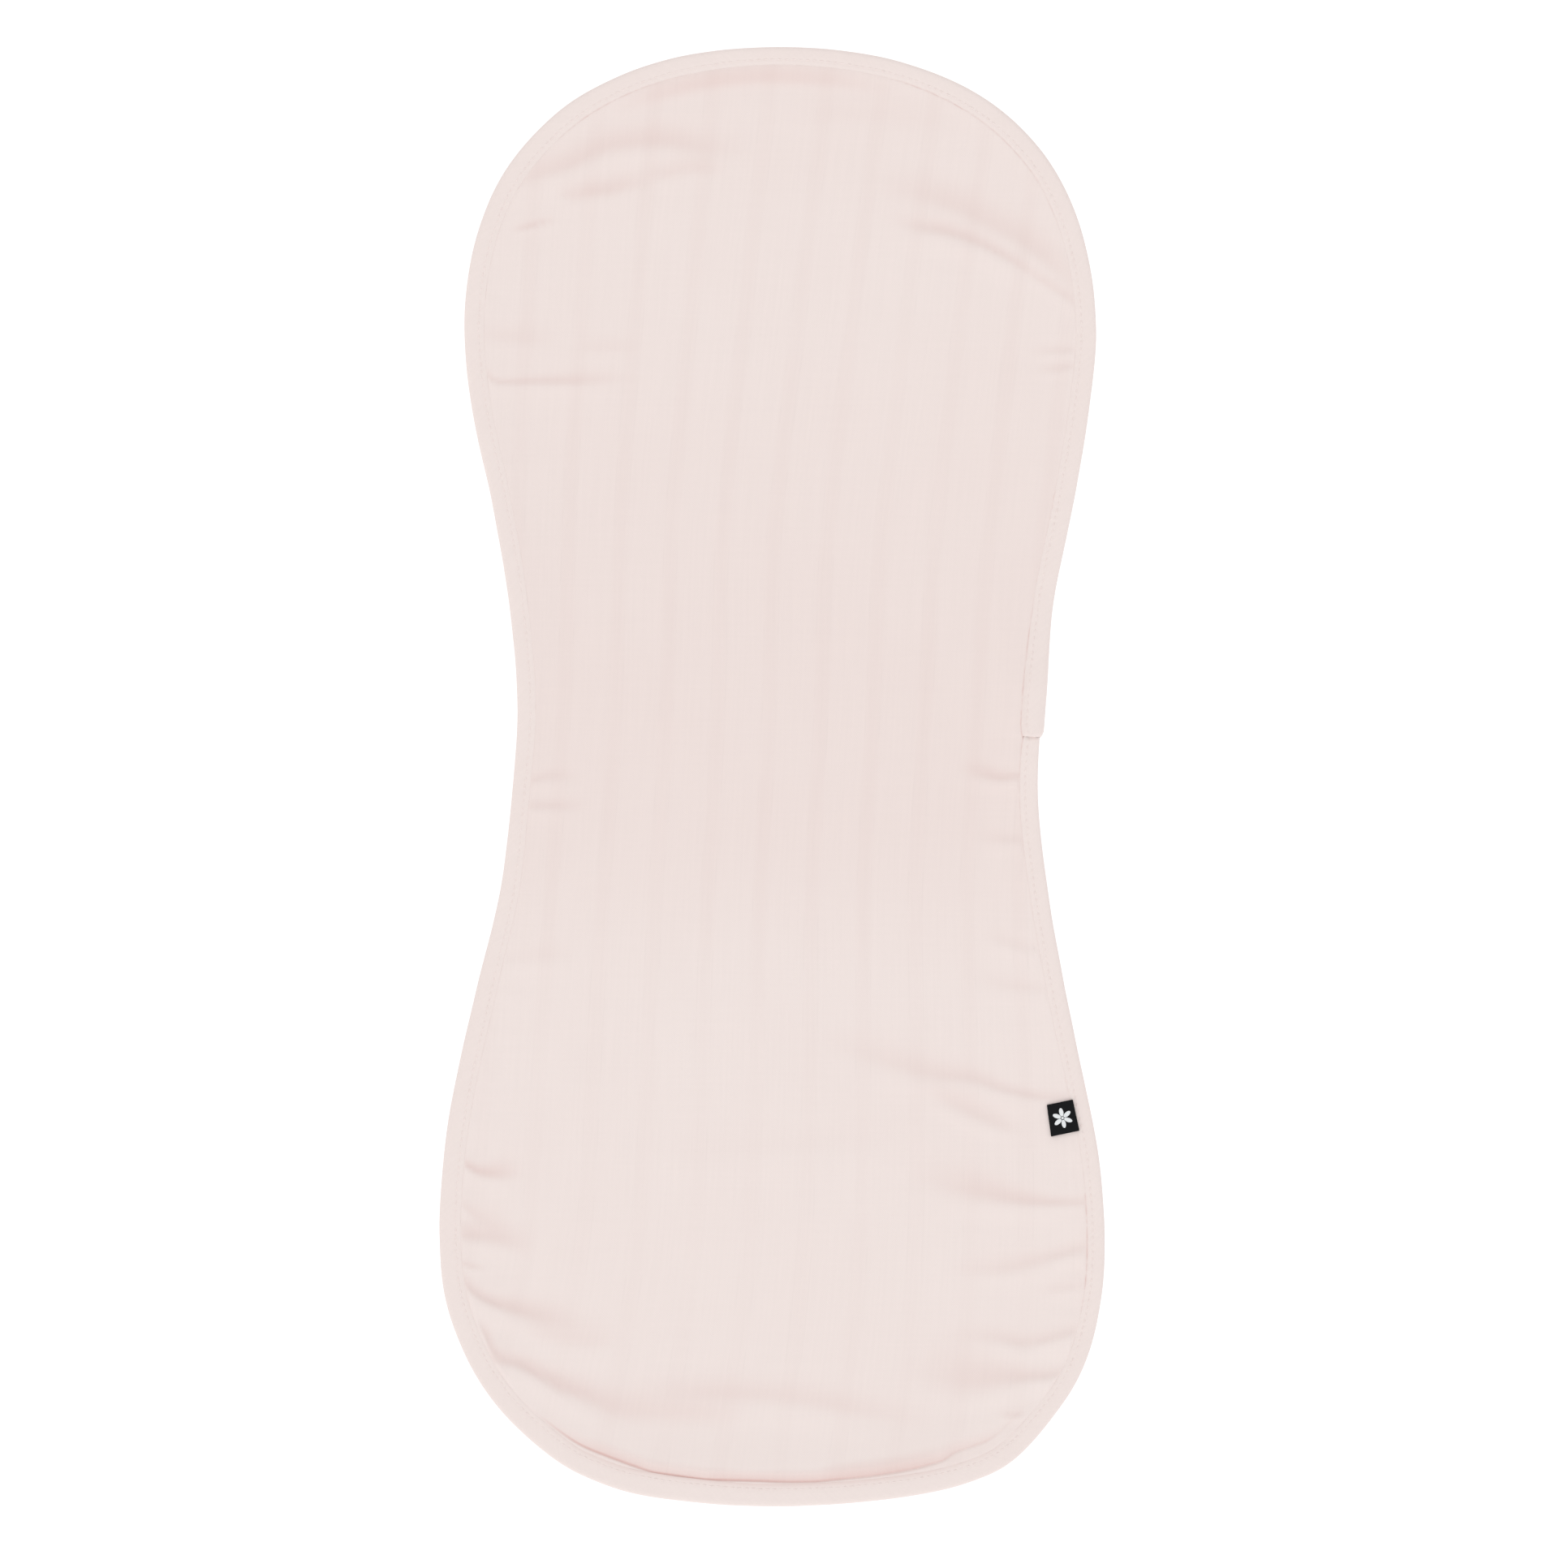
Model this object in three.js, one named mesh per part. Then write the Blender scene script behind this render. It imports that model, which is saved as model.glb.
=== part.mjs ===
// A baby's burp cloth lying flat, face up: an hourglass panel of soft muslin, a strip of the same
// muslin folded over its raw edge all the way round, and a small ribbon label folded in two and caught
// in the strip's seam. Millimetres. +Y runs to the narrower round end at the top, +X to the right, and
// +Z up from the surface that the cloth lies on. The origin is on that surface under the cloth's middle.
import * as THREE from "three";
import { mergeVertices } from "three/addons/utils/BufferGeometryUtils.js";

// The finished edge, a row for each cross-section from the top end to the bottom end.
const SECTIONS = [
  { y: 254, left: 2, right: 2 },
  { y: 249.5, left: -37, right: 42.5 },
  { y: 236.5, left: -67.5, right: 73.5 },
  { y: 219.5, left: -86.5, right: 92.5 },
  { y: 202.5, left: -97.5, right: 103 },
  { y: 181, left: -104.5, right: 110 },
  { y: 156, left: -107, right: 112.8 },
  { y: 129, left: -104.5, right: 110.5 },
  { y: 95, left: -97.3, right: 104.8 },
  { y: 61, left: -91.5, right: 98 },
  { y: 24, left: -88.5, right: 93.8 },
  { y: -7, left: -90.5, right: 92.5 },
  { y: -40, left: -94.6, right: 96 },
  { y: -74, left: -102.8, right: 102 },
  { y: -108, left: -110.5, right: 109 },
  { y: -131, left: -114, right: 113.5 },
  { y: -159, left: -115.7, right: 115.7 },
  { y: -182, left: -113.5, right: 114.5 },
  { y: -204.5, left: -105.2, right: 108.8 },
  { y: -221.5, left: -93.5, right: 98.8 },
  { y: -238.5, left: -74.3, right: 83.2 },
  { y: -244.7, left: -62.5, right: 71 },
  { y: -250, left: -45.5, right: 50.5 },
  { y: -254, left: 1, right: 1 },
];

// Layers. The panel is pressed thin where the strip grips it.
const GAP = 0.3;
const PANEL_THICK = 2;
const PRESSED_THICK = 1;
const STRIP_THICK = 1;

// The strip's visible width, at eight even steps clockwise from the top end: top, right shoulder, right
// waist, right hip, bottom, left hip, left waist, left shoulder.
const STRIP_WIDTHS = [6.2, 7.2, 6.2, 6, 8.2, 7.4, 6, 6.8];

// Where the strip's finishing end stops on the right waist, how much of its starting end it covers, the
// length over which the doubled layers ease back to one, and how far its end is rounded off.
const JOIN_Y = 13.7;
const JOIN_COVER = 14;
const JOIN_EASE = 34;
const JOIN_ROUND = 2.5;
const JOIN_LIP = 0.5;

// Folds and puckers, a row for each: the crest runs from one point over a middle one to the last.
// "high" is how far it stands up and "wide" how far its slopes reach to each side.
const FOLDS = [
  { from: [38, 193], over: [72, 184], to: [101, 165], high: 1.5, wide: 8 },
  { from: [34, 204], over: [70, 195], to: [101, 174], high: 0.9, wide: 7 },
  { from: [-84, 205], over: [-46, 218], to: [-6, 217], high: 1.1, wide: 8 },
  { from: [-64, 200], over: [-42, 205], to: [-20, 210], high: 0.8, wide: 7 },
  { from: [-96, 187], over: [-86, 190], to: [-78, 192], high: 0.5, wide: 6 },
  { from: [-100, 142], over: [-80, 141.5], to: [-52, 142.5], high: 0.9, wide: 6.5 },
  { from: [-86, 0], over: [-77, 1.5], to: [-68, 2], high: 0.5, wide: 6 },
  { from: [-86, -12], over: [-79, -12], to: [-70, -12], high: 0.5, wide: 6 },
  { from: [64, 2], over: [74, -1.5], to: [88, -1.5], high: 0.8, wide: 6 },
  { from: [66, -21], over: [77, -22], to: [90, -22], high: 0.5, wide: 6.5 },
  { from: [70, -71], over: [80, -73], to: [94, -75], high: 0.6, wide: 6.5 },
  { from: [14, -93], over: [62, -106], to: [97, -112], high: 1.2, wide: 9 },
  { from: [58, -142], over: [84, -149], to: [110, -152], high: 1.4, wide: 8 },
  { from: [64, -174], over: [88, -170.5], to: [109, -165], high: 0.8, wide: 7 },
  { from: [46, -196], over: [78, -198], to: [104, -194], high: 0.8, wide: 7 },
  { from: [42, -212], over: [72, -211], to: [99, -208], high: 1.5, wide: 8 },
  { from: [-108, -137], over: [-97, -140], to: [-74, -138], high: 1.0, wide: 6.5 },
  { from: [-109, -160], over: [-96, -160], to: [-86, -168], high: 0.8, wide: 7 },
  { from: [-106, -182], over: [-84, -194], to: [-58, -197], high: 1.7, wide: 7.5 },
  { from: [-98, -203], over: [-76, -214], to: [-50, -223], high: 1.8, wide: 7.5 },
  { from: [-66, -229], over: [2, -238], to: [76, -228], high: 1.7, wide: 11 },
];

// A fold dies out over this share of its length at each end, down to this part of its height.
const FOLD_END = 0.3;
const FOLD_END_HEIGHT = 0.35;

// The cloth is a little fuller just inside the seam than in its middle.
const FULLNESS = { high: 1.2, inward: 2.5, wide: 10 };

// Seam: how far inside the strip's edge the panel starts to rise, and over what distance it settles.
const SEAM_CLEAR = 0.7;
const SEAM_RISE = 2.6;
const SEAM_FALL = 4.6;

// The label: its size along and across the seam, where it sits, and its ribbon.
const LABEL_Y = -116.6;
const LABEL_HIGH = 10.9;
const LABEL_WIDE = 9.2;
const RIBBON_THICK = 0.6;
const RIBBON_BEND_STEPS = 8;

// No fold lifts the cloth under the label, out to this distance from its middle.
const LABEL_CALM = 13;

// Mesh: how far apart the pairs of stations down the two sides are, above each height, and at the join.
const STATION_STEPS = [
  { above: 130, step: 8.5 },
  { above: -85, step: 13 },
  { above: -260, step: 6.5 },
];
const JOIN_STEP = 5;
const FINE_STEPS = 40;
const FOLD_STEPS = 12;
const SPINE_TOP = 148;
const SPINE_BOTTOM = -142;

// Rings of points round the panel: how far past the seam the first ones lie on each face, where the
// seam's band ends, and at which shares of the way from there to the middle line the others lie.
const SEAM_OVER = [0, 2.6];
const SEAM_UNDER = [0, 3];
const SEAM_BAND = 13;
const RINGS_OVER = [0, 0.1, 0.19, 0.28, 0.38, 0.5, 0.64, 0.8, 1];
const RINGS_UNDER = [0, 0.13, 0.25, 0.38, 0.54, 0.74, 1];

// The strip's fold, in degrees from its upper leg round to its lower one, and the least distance
// between two of its cross-sections near its ends.
const FOLD_ARC = [90, 45, 0, -45, -90];
const LEAST_STEP = 2;

const LINEN = { color: 0xeee1dd, roughness: 0.92, metalness: 0 };
const RIBBON = { color: 0x15171a, roughness: 0.7, metalness: 0 };

const CORE = PRESSED_THICK / 2;
const STRIP_IN = CORE + GAP;
const STRIP_OUT = STRIP_IN + STRIP_THICK;
const WRAP_IN = STRIP_OUT + GAP;
const WRAP_OUT = WRAP_IN + STRIP_THICK;
const JOIN_LIFT = WRAP_OUT - STRIP_OUT;

const mix = THREE.MathUtils.lerp;
const ease = (from, to, value) => THREE.MathUtils.smoothstep(value, from, to);

// The finished edge as one closed smooth curve, clockwise from the top end, as evenly fine points with
// the length run so far and the inward direction.
function finishedEdge() {
  const down = SECTIONS.map((row) => new THREE.Vector3(row.right, row.y, 0));
  const up = SECTIONS.slice(1, -1).map((row) => new THREE.Vector3(row.left, row.y, 0));
  const curve = new THREE.CatmullRomCurve3([...down, ...up.reverse()], true, "centripetal");
  const count = FINE_STEPS * curve.points.length;
  const points = [];
  let run = 0;
  for (let i = 0; i <= count; i++) {
    const here = curve.getPoint(i / count);
    if (i) run += here.distanceTo(points[i - 1].here);
    const along = curve.getTangent(i / count);
    points.push({ here, run, inward: new THREE.Vector2(along.y, -along.x) });
  }
  return { points, length: run, half: FINE_STEPS * (SECTIONS.length - 1) };
}

const EDGE = finishedEdge();

// The place on the edge at a length run clockwise from the top end.
function placeAt(length) {
  const run = THREE.MathUtils.euclideanModulo(length, EDGE.length);
  let low = 0;
  let high = EDGE.points.length - 1;
  while (high - low > 1) {
    const middle = (low + high) >> 1;
    if (EDGE.points[middle].run > run) high = middle;
    else low = middle;
  }
  const [a, b] = [EDGE.points[low], EDGE.points[high]];
  const share = (run - a.run) / (b.run - a.run);
  return {
    run: length,
    x: mix(a.here.x, b.here.x, share),
    y: mix(a.here.y, b.here.y, share),
    inward: a.inward.clone().lerp(b.inward, share).normalize(),
  };
}

// The length run at which the right side passes a height.
function runOnRight(y) {
  const found = EDGE.points.find((point, i) => i <= EDGE.half && point.here.y <= y);
  return found.run;
}

const JOIN_RUN = runOnRight(JOIN_Y);

// How far apart the stations are at a place on the right side.
function stepAt(place) {
  const above = JOIN_RUN - place.run;
  if (above > -JOIN_EASE - JOIN_STEP && above < JOIN_COVER + JOIN_EASE + JOIN_STEP) return JOIN_STEP;
  return STATION_STEPS.find((row) => place.y > row.above).step;
}

// Stations down one side at its share of the way, so that the two sides pair up across the cloth.
function pairedRuns() {
  const turn = EDGE.points[EDGE.half].run;
  const shares = [0];
  for (let run = 0; run < turn; ) {
    run += stepAt(placeAt(run));
    shares.push(run / turn);
  }
  const last = shares[shares.length - 1];
  const right = shares.map((share) => (share / last) * turn);
  const left = right.map((run) => EDGE.length - (run / turn) * (EDGE.length - turn));
  return { right, left };
}

const RUNS = pairedRuns();
const LOOP = [...RUNS.right, ...RUNS.left.slice(1, -1).reverse()].map(placeAt);

// How far the doubled layers at the join raise everything: 1 along the covered end, easing off both ways.
function doubled(run) {
  const past = THREE.MathUtils.euclideanModulo(run - JOIN_RUN + EDGE.length / 2, EDGE.length);
  const from = past - EDGE.length / 2;
  if (from >= 0) return 1 - ease(0, JOIN_EASE, from);
  return 1 - ease(JOIN_COVER, JOIN_COVER + JOIN_EASE, -from);
}

function stripWidth(run) {
  const turns = STRIP_WIDTHS.length;
  const at = (THREE.MathUtils.euclideanModulo(run, EDGE.length) / EDGE.length) * turns;
  const low = Math.floor(at) % turns;
  return mix(STRIP_WIDTHS[low], STRIP_WIDTHS[(low + 1) % turns], ease(0, 1, at - Math.floor(at)));
}

// The height of the middle of the pressed edge.
const middleHeight = (run) => STRIP_OUT + JOIN_LIFT * doubled(run);

// A point at a distance inward from the finished edge.
const inside = (place, distance, z) =>
  new THREE.Vector3(place.x + place.inward.x * distance, place.y + place.inward.y * distance, z);

const LABEL_PLACE = placeAt(runOnRight(LABEL_Y));
const LABEL_NEAR = stripWidth(LABEL_PLACE.run) + GAP;
const LABEL_MIDDLE = inside(LABEL_PLACE, LABEL_NEAR + LABEL_WIDE / 2, 0);

// Each fold's crest as a run of points.
const CRESTS = FOLDS.map((fold) => {
  const [from, over, to] = [fold.from, fold.over, fold.to].map((p) => new THREE.Vector3(p[0], p[1], 0));
  const crest = new THREE.CatmullRomCurve3([from, over, to], false, "centripetal");
  return { ...fold, points: crest.getPoints(FOLD_STEPS) };
});

// How far the folds lift the cloth at a point. They die out at their ends and under the label.
function foldHeight(x, y) {
  const here = new THREE.Vector3(x, y, 0);
  let height = 0;
  for (const crest of CRESTS) {
    let nearest = Infinity;
    let share = 0;
    crest.points.forEach((point, i) => {
      const away = point.distanceTo(here);
      if (away < nearest) [nearest, share] = [away, i / FOLD_STEPS];
    });
    if (nearest >= crest.wide) continue;
    const slope = Math.cos((nearest / crest.wide) * (Math.PI / 2)) ** 2;
    const ends = ease(0, FOLD_END, share) * ease(0, FOLD_END, 1 - share);
    height = Math.max(height, crest.high * slope * mix(FOLD_END_HEIGHT, 1, ends));
  }
  return height * ease(LABEL_CALM / 2, LABEL_CALM, here.distanceTo(LABEL_MIDDLE));
}

// The panel's two faces at a distance inward from the edge beside a station.
function panelHeights(place, point, distance) {
  const middle = middleHeight(place.run);
  const past = distance - stripWidth(place.run) - SEAM_CLEAR;
  const lift = foldHeight(point.x, point.y);
  const full = FULLNESS.high * Math.exp(-(((past - FULLNESS.inward) / FULLNESS.wide) ** 2));
  return {
    under: mix(middle - CORE, lift, ease(0, SEAM_FALL, past)),
    over: mix(middle + CORE, PANEL_THICK + full + lift, ease(0, SEAM_RISE, past)),
  };
}

// One closed body from points and faces: points that coincide are merged and collapsed faces dropped.
function bodyOf(points, faces) {
  const loose = new THREE.BufferGeometry().setFromPoints(points);
  loose.setIndex(faces.flat());
  const merged = mergeVertices(loose, 1e-4);
  const index = merged.index.array;
  const kept = [];
  for (let i = 0; i < index.length; i += 3) {
    const [a, b, c] = [index[i], index[i + 1], index[i + 2]];
    if (a !== b && b !== c && c !== a) kept.push(a, b, c);
  }
  merged.setIndex(kept);
  merged.computeVertexNormals();
  return merged;
}

// The panel: rings of points round the cloth, from its middle line out over the top face to the pressed
// edge and back under to the middle line.
function panelShape() {
  const count = LOOP.length;
  const middleLine = LOOP.map((place, i) => {
    const across = LOOP[(count - i) % count];
    const y = THREE.MathUtils.clamp((place.y + across.y) / 2, SPINE_BOTTOM, SPINE_TOP);
    return new THREE.Vector3(0, y, 0);
  });
  const ring = (face, spot) =>
    LOOP.map((place, i) => {
      const { point, distance } = spot(place, i);
      point.z = panelHeights(place, point, distance)[face];
      return point;
    });
  const seamRing = (face, past) =>
    ring(face, (place) => {
      const distance = stripWidth(place.run) + SEAM_CLEAR + past;
      return { point: inside(place, distance, 0), distance };
    });
  const middleRing = (face, share) =>
    ring(face, (place, i) => {
      const outer = inside(place, SEAM_BAND, 0);
      const distance = SEAM_BAND + share * outer.distanceTo(middleLine[i]);
      return { point: outer.lerp(middleLine[i], share), distance };
    });
  const edgeRing = (distance, side) =>
    LOOP.map((place) => inside(place, distance, middleHeight(place.run) + side * CORE));

  const rings = [
    ...RINGS_OVER.map((share) => middleRing("over", share)).reverse(),
    ...SEAM_OVER.map((past) => seamRing("over", past)).reverse(),
    edgeRing(STRIP_OUT, 1),
    edgeRing(STRIP_OUT - CORE, 0),
    edgeRing(STRIP_OUT, -1),
    ...SEAM_UNDER.map((past) => seamRing("under", past)),
    ...RINGS_UNDER.map((share) => middleRing("under", share)),
  ];
  const faces = [];
  for (let r = 0; r + 1 < rings.length; r++) {
    for (let i = 0; i < count; i++) {
      const next = (i + 1) % count;
      const [a, b] = [r * count + i, r * count + next];
      const [c, d] = [a + count, b + count];
      faces.push([a, b, d], [a, d, c]);
    }
  }
  return bodyOf(rings.flat(), faces);
}

// One cross-section of the folded strip: out along its upper leg, round the fold and back along the
// lower leg, first on the outer face and then on the inner face.
function stripSection(place, width, inner, outer) {
  const middle = middleHeight(place.run);
  const face = (radius) => [
    inside(place, width, middle + radius),
    ...FOLD_ARC.map((degrees) => {
      const angle = THREE.MathUtils.degToRad(degrees);
      return inside(place, STRIP_OUT - radius * Math.cos(angle), middle + radius * Math.sin(angle));
    }),
    inside(place, width, middle - radius),
  ];
  return [...face(outer), ...face(inner)];
}

// The strip runs once round the cloth, from its starting end under the join to its finishing end, which
// wraps over the starting end from outside.
function stripShape() {
  const start = JOIN_RUN - JOIN_COVER;
  const end = JOIN_RUN + EDGE.length;
  const lap = [0, EDGE.length].flatMap((turn) => LOOP.map((place) => place.run + turn));
  const between = [...lap, end - JOIN_COVER - JOIN_EASE, end - JOIN_COVER, end - JOIN_ROUND]
    .filter((run) => run > start + LEAST_STEP && run < end - LEAST_STEP)
    .sort((a, b) => a - b);
  const runs = [start, ...between, end];
  const rows = runs.map((run) => {
    const wraps = run > end - JOIN_COVER - JOIN_EASE ? doubled(run - EDGE.length) : 0;
    const grown = run === end ? 1 : wraps;
    const lip = run === end ? JOIN_LIP : 0;
    const inner = mix(STRIP_IN, WRAP_IN, grown);
    const outer = mix(STRIP_OUT, WRAP_OUT, grown) - lip;
    return stripSection(placeAt(run), stripWidth(run) + grown * GAP, inner, outer);
  });
  const ring = rows[0].length;
  const half = ring / 2;
  const faces = [];
  // Neighbouring corners round a section: along the outer face, then back along the inner one.
  const round = [];
  for (let k = 0; k < half; k++) round.push(k);
  for (let k = ring - 1; k >= half; k--) round.push(k);
  for (let r = 0; r + 1 < rows.length; r++) {
    round.forEach((corner, i) => {
      const other = round[(i + 1) % ring];
      const [a, b] = [r * ring + corner, r * ring + other];
      const [c, d] = [a + ring, b + ring];
      faces.push([a, c, d], [a, d, b]);
    });
  }
  const lastRow = (rows.length - 1) * ring;
  for (let k = 0; k + 1 < half; k++) {
    const [a, b, c, d] = [k, k + 1, k + half, k + 1 + half];
    faces.push([a, b, d], [a, d, c]);
    faces.push([lastRow + a, lastRow + d, lastRow + b], [lastRow + a, lastRow + c, lastRow + d]);
  }
  return bodyOf(rows.flat(), faces);
}

// The label: a ribbon folded in two, its fold towards the cloth's middle and its two ends at the seam.
function labelShape() {
  const between = GAP / 2;
  const whole = between + RIBBON_THICK;
  const bend = LABEL_WIDE - whole;
  const profile = new THREE.Shape();
  profile.moveTo(0, -whole);
  profile.lineTo(bend, -whole);
  profile.absarc(bend, 0, whole, -Math.PI / 2, Math.PI / 2, false);
  profile.lineTo(0, whole);
  profile.lineTo(0, between);
  profile.lineTo(bend, between);
  profile.absarc(bend, 0, between, Math.PI / 2, -Math.PI / 2, true);
  profile.lineTo(0, -between);
  profile.closePath();
  const shape = new THREE.ExtrudeGeometry(profile, {
    depth: LABEL_HIGH,
    bevelEnabled: false,
    curveSegments: RIBBON_BEND_STEPS,
  });
  return shape.translate(0, 0, -LABEL_HIGH / 2);
}

function meshOf(name, shape, finish) {
  const mesh = new THREE.Mesh(shape, new THREE.MeshStandardMaterial(finish));
  mesh.name = name;
  return mesh;
}

// Stands the label's profile up on the cloth just inside the strip, square to the seam.
function placedLabel() {
  const label = meshOf("label", labelShape(), RIBBON);
  const inward = new THREE.Vector3(LABEL_PLACE.inward.x, LABEL_PLACE.inward.y, 0);
  const upward = new THREE.Vector3(0, 0, 1);
  const along = new THREE.Vector3().crossVectors(inward, upward);
  const corners = [0, 0.5, 1].flatMap((across) =>
    [-0.5, 0, 0.5].map((down) => {
      const spot = inside(LABEL_PLACE, LABEL_NEAR + across * LABEL_WIDE, 0);
      return spot.addScaledVector(along, down * LABEL_HIGH);
    }),
  );
  const highest = Math.max(
    ...corners.map((spot, i) => {
      const distance = LABEL_NEAR + (Math.floor(i / 3) / 2) * LABEL_WIDE;
      return panelHeights(LABEL_PLACE, spot, distance).over;
    }),
  );
  const turn = new THREE.Matrix4().makeBasis(inward, upward, along);
  label.quaternion.setFromRotationMatrix(turn);
  label.position.copy(inside(LABEL_PLACE, LABEL_NEAR, highest + GAP + GAP / 2 + RIBBON_THICK));
  return label;
}

const cloth = new THREE.Group();
cloth.name = "burp_cloth";
cloth.add(meshOf("panel", panelShape(), LINEN));
cloth.add(meshOf("edge_binding", stripShape(), LINEN));
cloth.add(placedLabel());

export default cloth;
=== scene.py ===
import math
from collections import namedtuple

import bpy
import numpy as np
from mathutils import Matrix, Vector, noise


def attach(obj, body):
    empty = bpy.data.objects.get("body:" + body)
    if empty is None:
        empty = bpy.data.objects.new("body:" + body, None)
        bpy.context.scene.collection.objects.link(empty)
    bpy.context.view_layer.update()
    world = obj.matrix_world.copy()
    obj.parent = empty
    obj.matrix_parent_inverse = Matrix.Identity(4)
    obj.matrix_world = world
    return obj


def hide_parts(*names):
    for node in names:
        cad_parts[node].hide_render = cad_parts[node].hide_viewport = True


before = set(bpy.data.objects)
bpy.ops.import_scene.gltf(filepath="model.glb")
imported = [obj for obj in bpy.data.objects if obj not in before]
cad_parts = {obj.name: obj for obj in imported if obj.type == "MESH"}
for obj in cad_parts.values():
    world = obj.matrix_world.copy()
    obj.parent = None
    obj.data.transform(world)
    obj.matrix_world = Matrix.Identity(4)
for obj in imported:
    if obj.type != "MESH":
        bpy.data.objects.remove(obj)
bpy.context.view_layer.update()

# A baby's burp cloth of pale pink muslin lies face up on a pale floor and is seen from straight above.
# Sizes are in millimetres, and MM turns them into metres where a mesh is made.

MM = 0.001

# The picture: its scale at the cloth, and the point of the cloth at its middle.
PICTURE_PX = 1932
MM_PER_PX = 0.2827
PICTURE_MIDDLE = (4.2, -2.5)
LENS = 100
FILM = 36

# The finished edge, a row for each cross-section from the top end to the bottom end: y, left, right.
SECTIONS = [
    (254, 2, 2),
    (249.5, -37, 42.5),
    (236.5, -67.5, 73.5),
    (219.5, -86.5, 92.5),
    (202.5, -97.5, 103),
    (181, -104.5, 110),
    (156, -107, 112.8),
    (129, -104.5, 110.5),
    (95, -97.3, 104.8),
    (61, -91.5, 98),
    (24, -88.5, 93.8),
    (-7, -90.5, 92.5),
    (-40, -94.6, 96),
    (-74, -102.8, 102),
    (-108, -110.5, 109),
    (-131, -114, 113.5),
    (-159, -115.7, 115.7),
    (-182, -113.5, 114.5),
    (-204.5, -105.2, 108.8),
    (-221.5, -93.5, 98.8),
    (-238.5, -74.3, 83.2),
    (-244.7, -62.5, 71),
    (-250, -45.5, 50.5),
    (-254, 1, 1),
]
EDGE_STEPS = 40

# Layers at the pressed edge, from the panel's middle out to the strip's faces.
CORE = 0.5
GAP = 0.3
STRIP_THICK = 1.0
STRIP_IN = CORE + GAP
STRIP_OUT = STRIP_IN + STRIP_THICK
WRAP_IN = STRIP_OUT + GAP
WRAP_OUT = WRAP_IN + STRIP_THICK
JOIN_LIFT = WRAP_OUT - STRIP_OUT
PANEL_THICK = 2.0

# The strip's visible width, at thirty-two even steps clockwise from the top end.
STRIP_WIDTHS = [
    6.2, 6.6, 7.2, 7.1, 7.0, 7.0, 7.0, 6.7, 6.3, 6.3, 6.3, 5.9, 6.0, 6.3, 7.3, 7.7,
    7.9, 8.4, 8.0, 7.7, 7.5, 7.3, 7.1, 6.6, 6.1, 6.4, 6.6, 6.8, 6.9, 7.1, 7.3, 6.8,
]

# Where the strip's finishing end stops on the right waist, how much it covers, and how that eases off.
JOIN_Y = 13.7
JOIN_COVER = 14
JOIN_EASE = 34

# How far the outer corner of the finishing end is rounded off, across the strip and along it.
JOIN_CORNER = 1.0
JOIN_CORNER_LONG = 2.8

# How far the strip's inner edge is drawn outwards at the join, and how far that reaches up and down.
JOIN_DRAW = 0.9
JOIN_DRAW_UP = 2.2
JOIN_DRAW_DOWN = 5.5

# A seam that pieces the strip together on the right waist: its height there and how far it slants.
PIECING_Y = 90.2
PIECING_SLANT = 0.12
PIECING_DEEP = 0.3

# The stitches pinch the strip thin towards its inner edge: over what length, and how far down and up its
# two faces go there. Where the strip is doubled, its upper layer drops over the lower one instead.
PINCH_LONG = 1.8
PINCH_OVER = 0.25
PINCH_UNDER = 0.55
WRAP_OVER = 1.15
WRAP_UNDER = -0.45
FOLD_SQUARE = 0.72
FOLD_OUT = 0.16

# Where the stitches run inside the strip's inner edge, and how long and thick one of them is.
SEAM_IN = 1.9
STITCH_PITCH = 2.5
STITCH_LONG = 1.95
STITCH_THICK = 0.36
THREAD_SINK = 0.1

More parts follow.
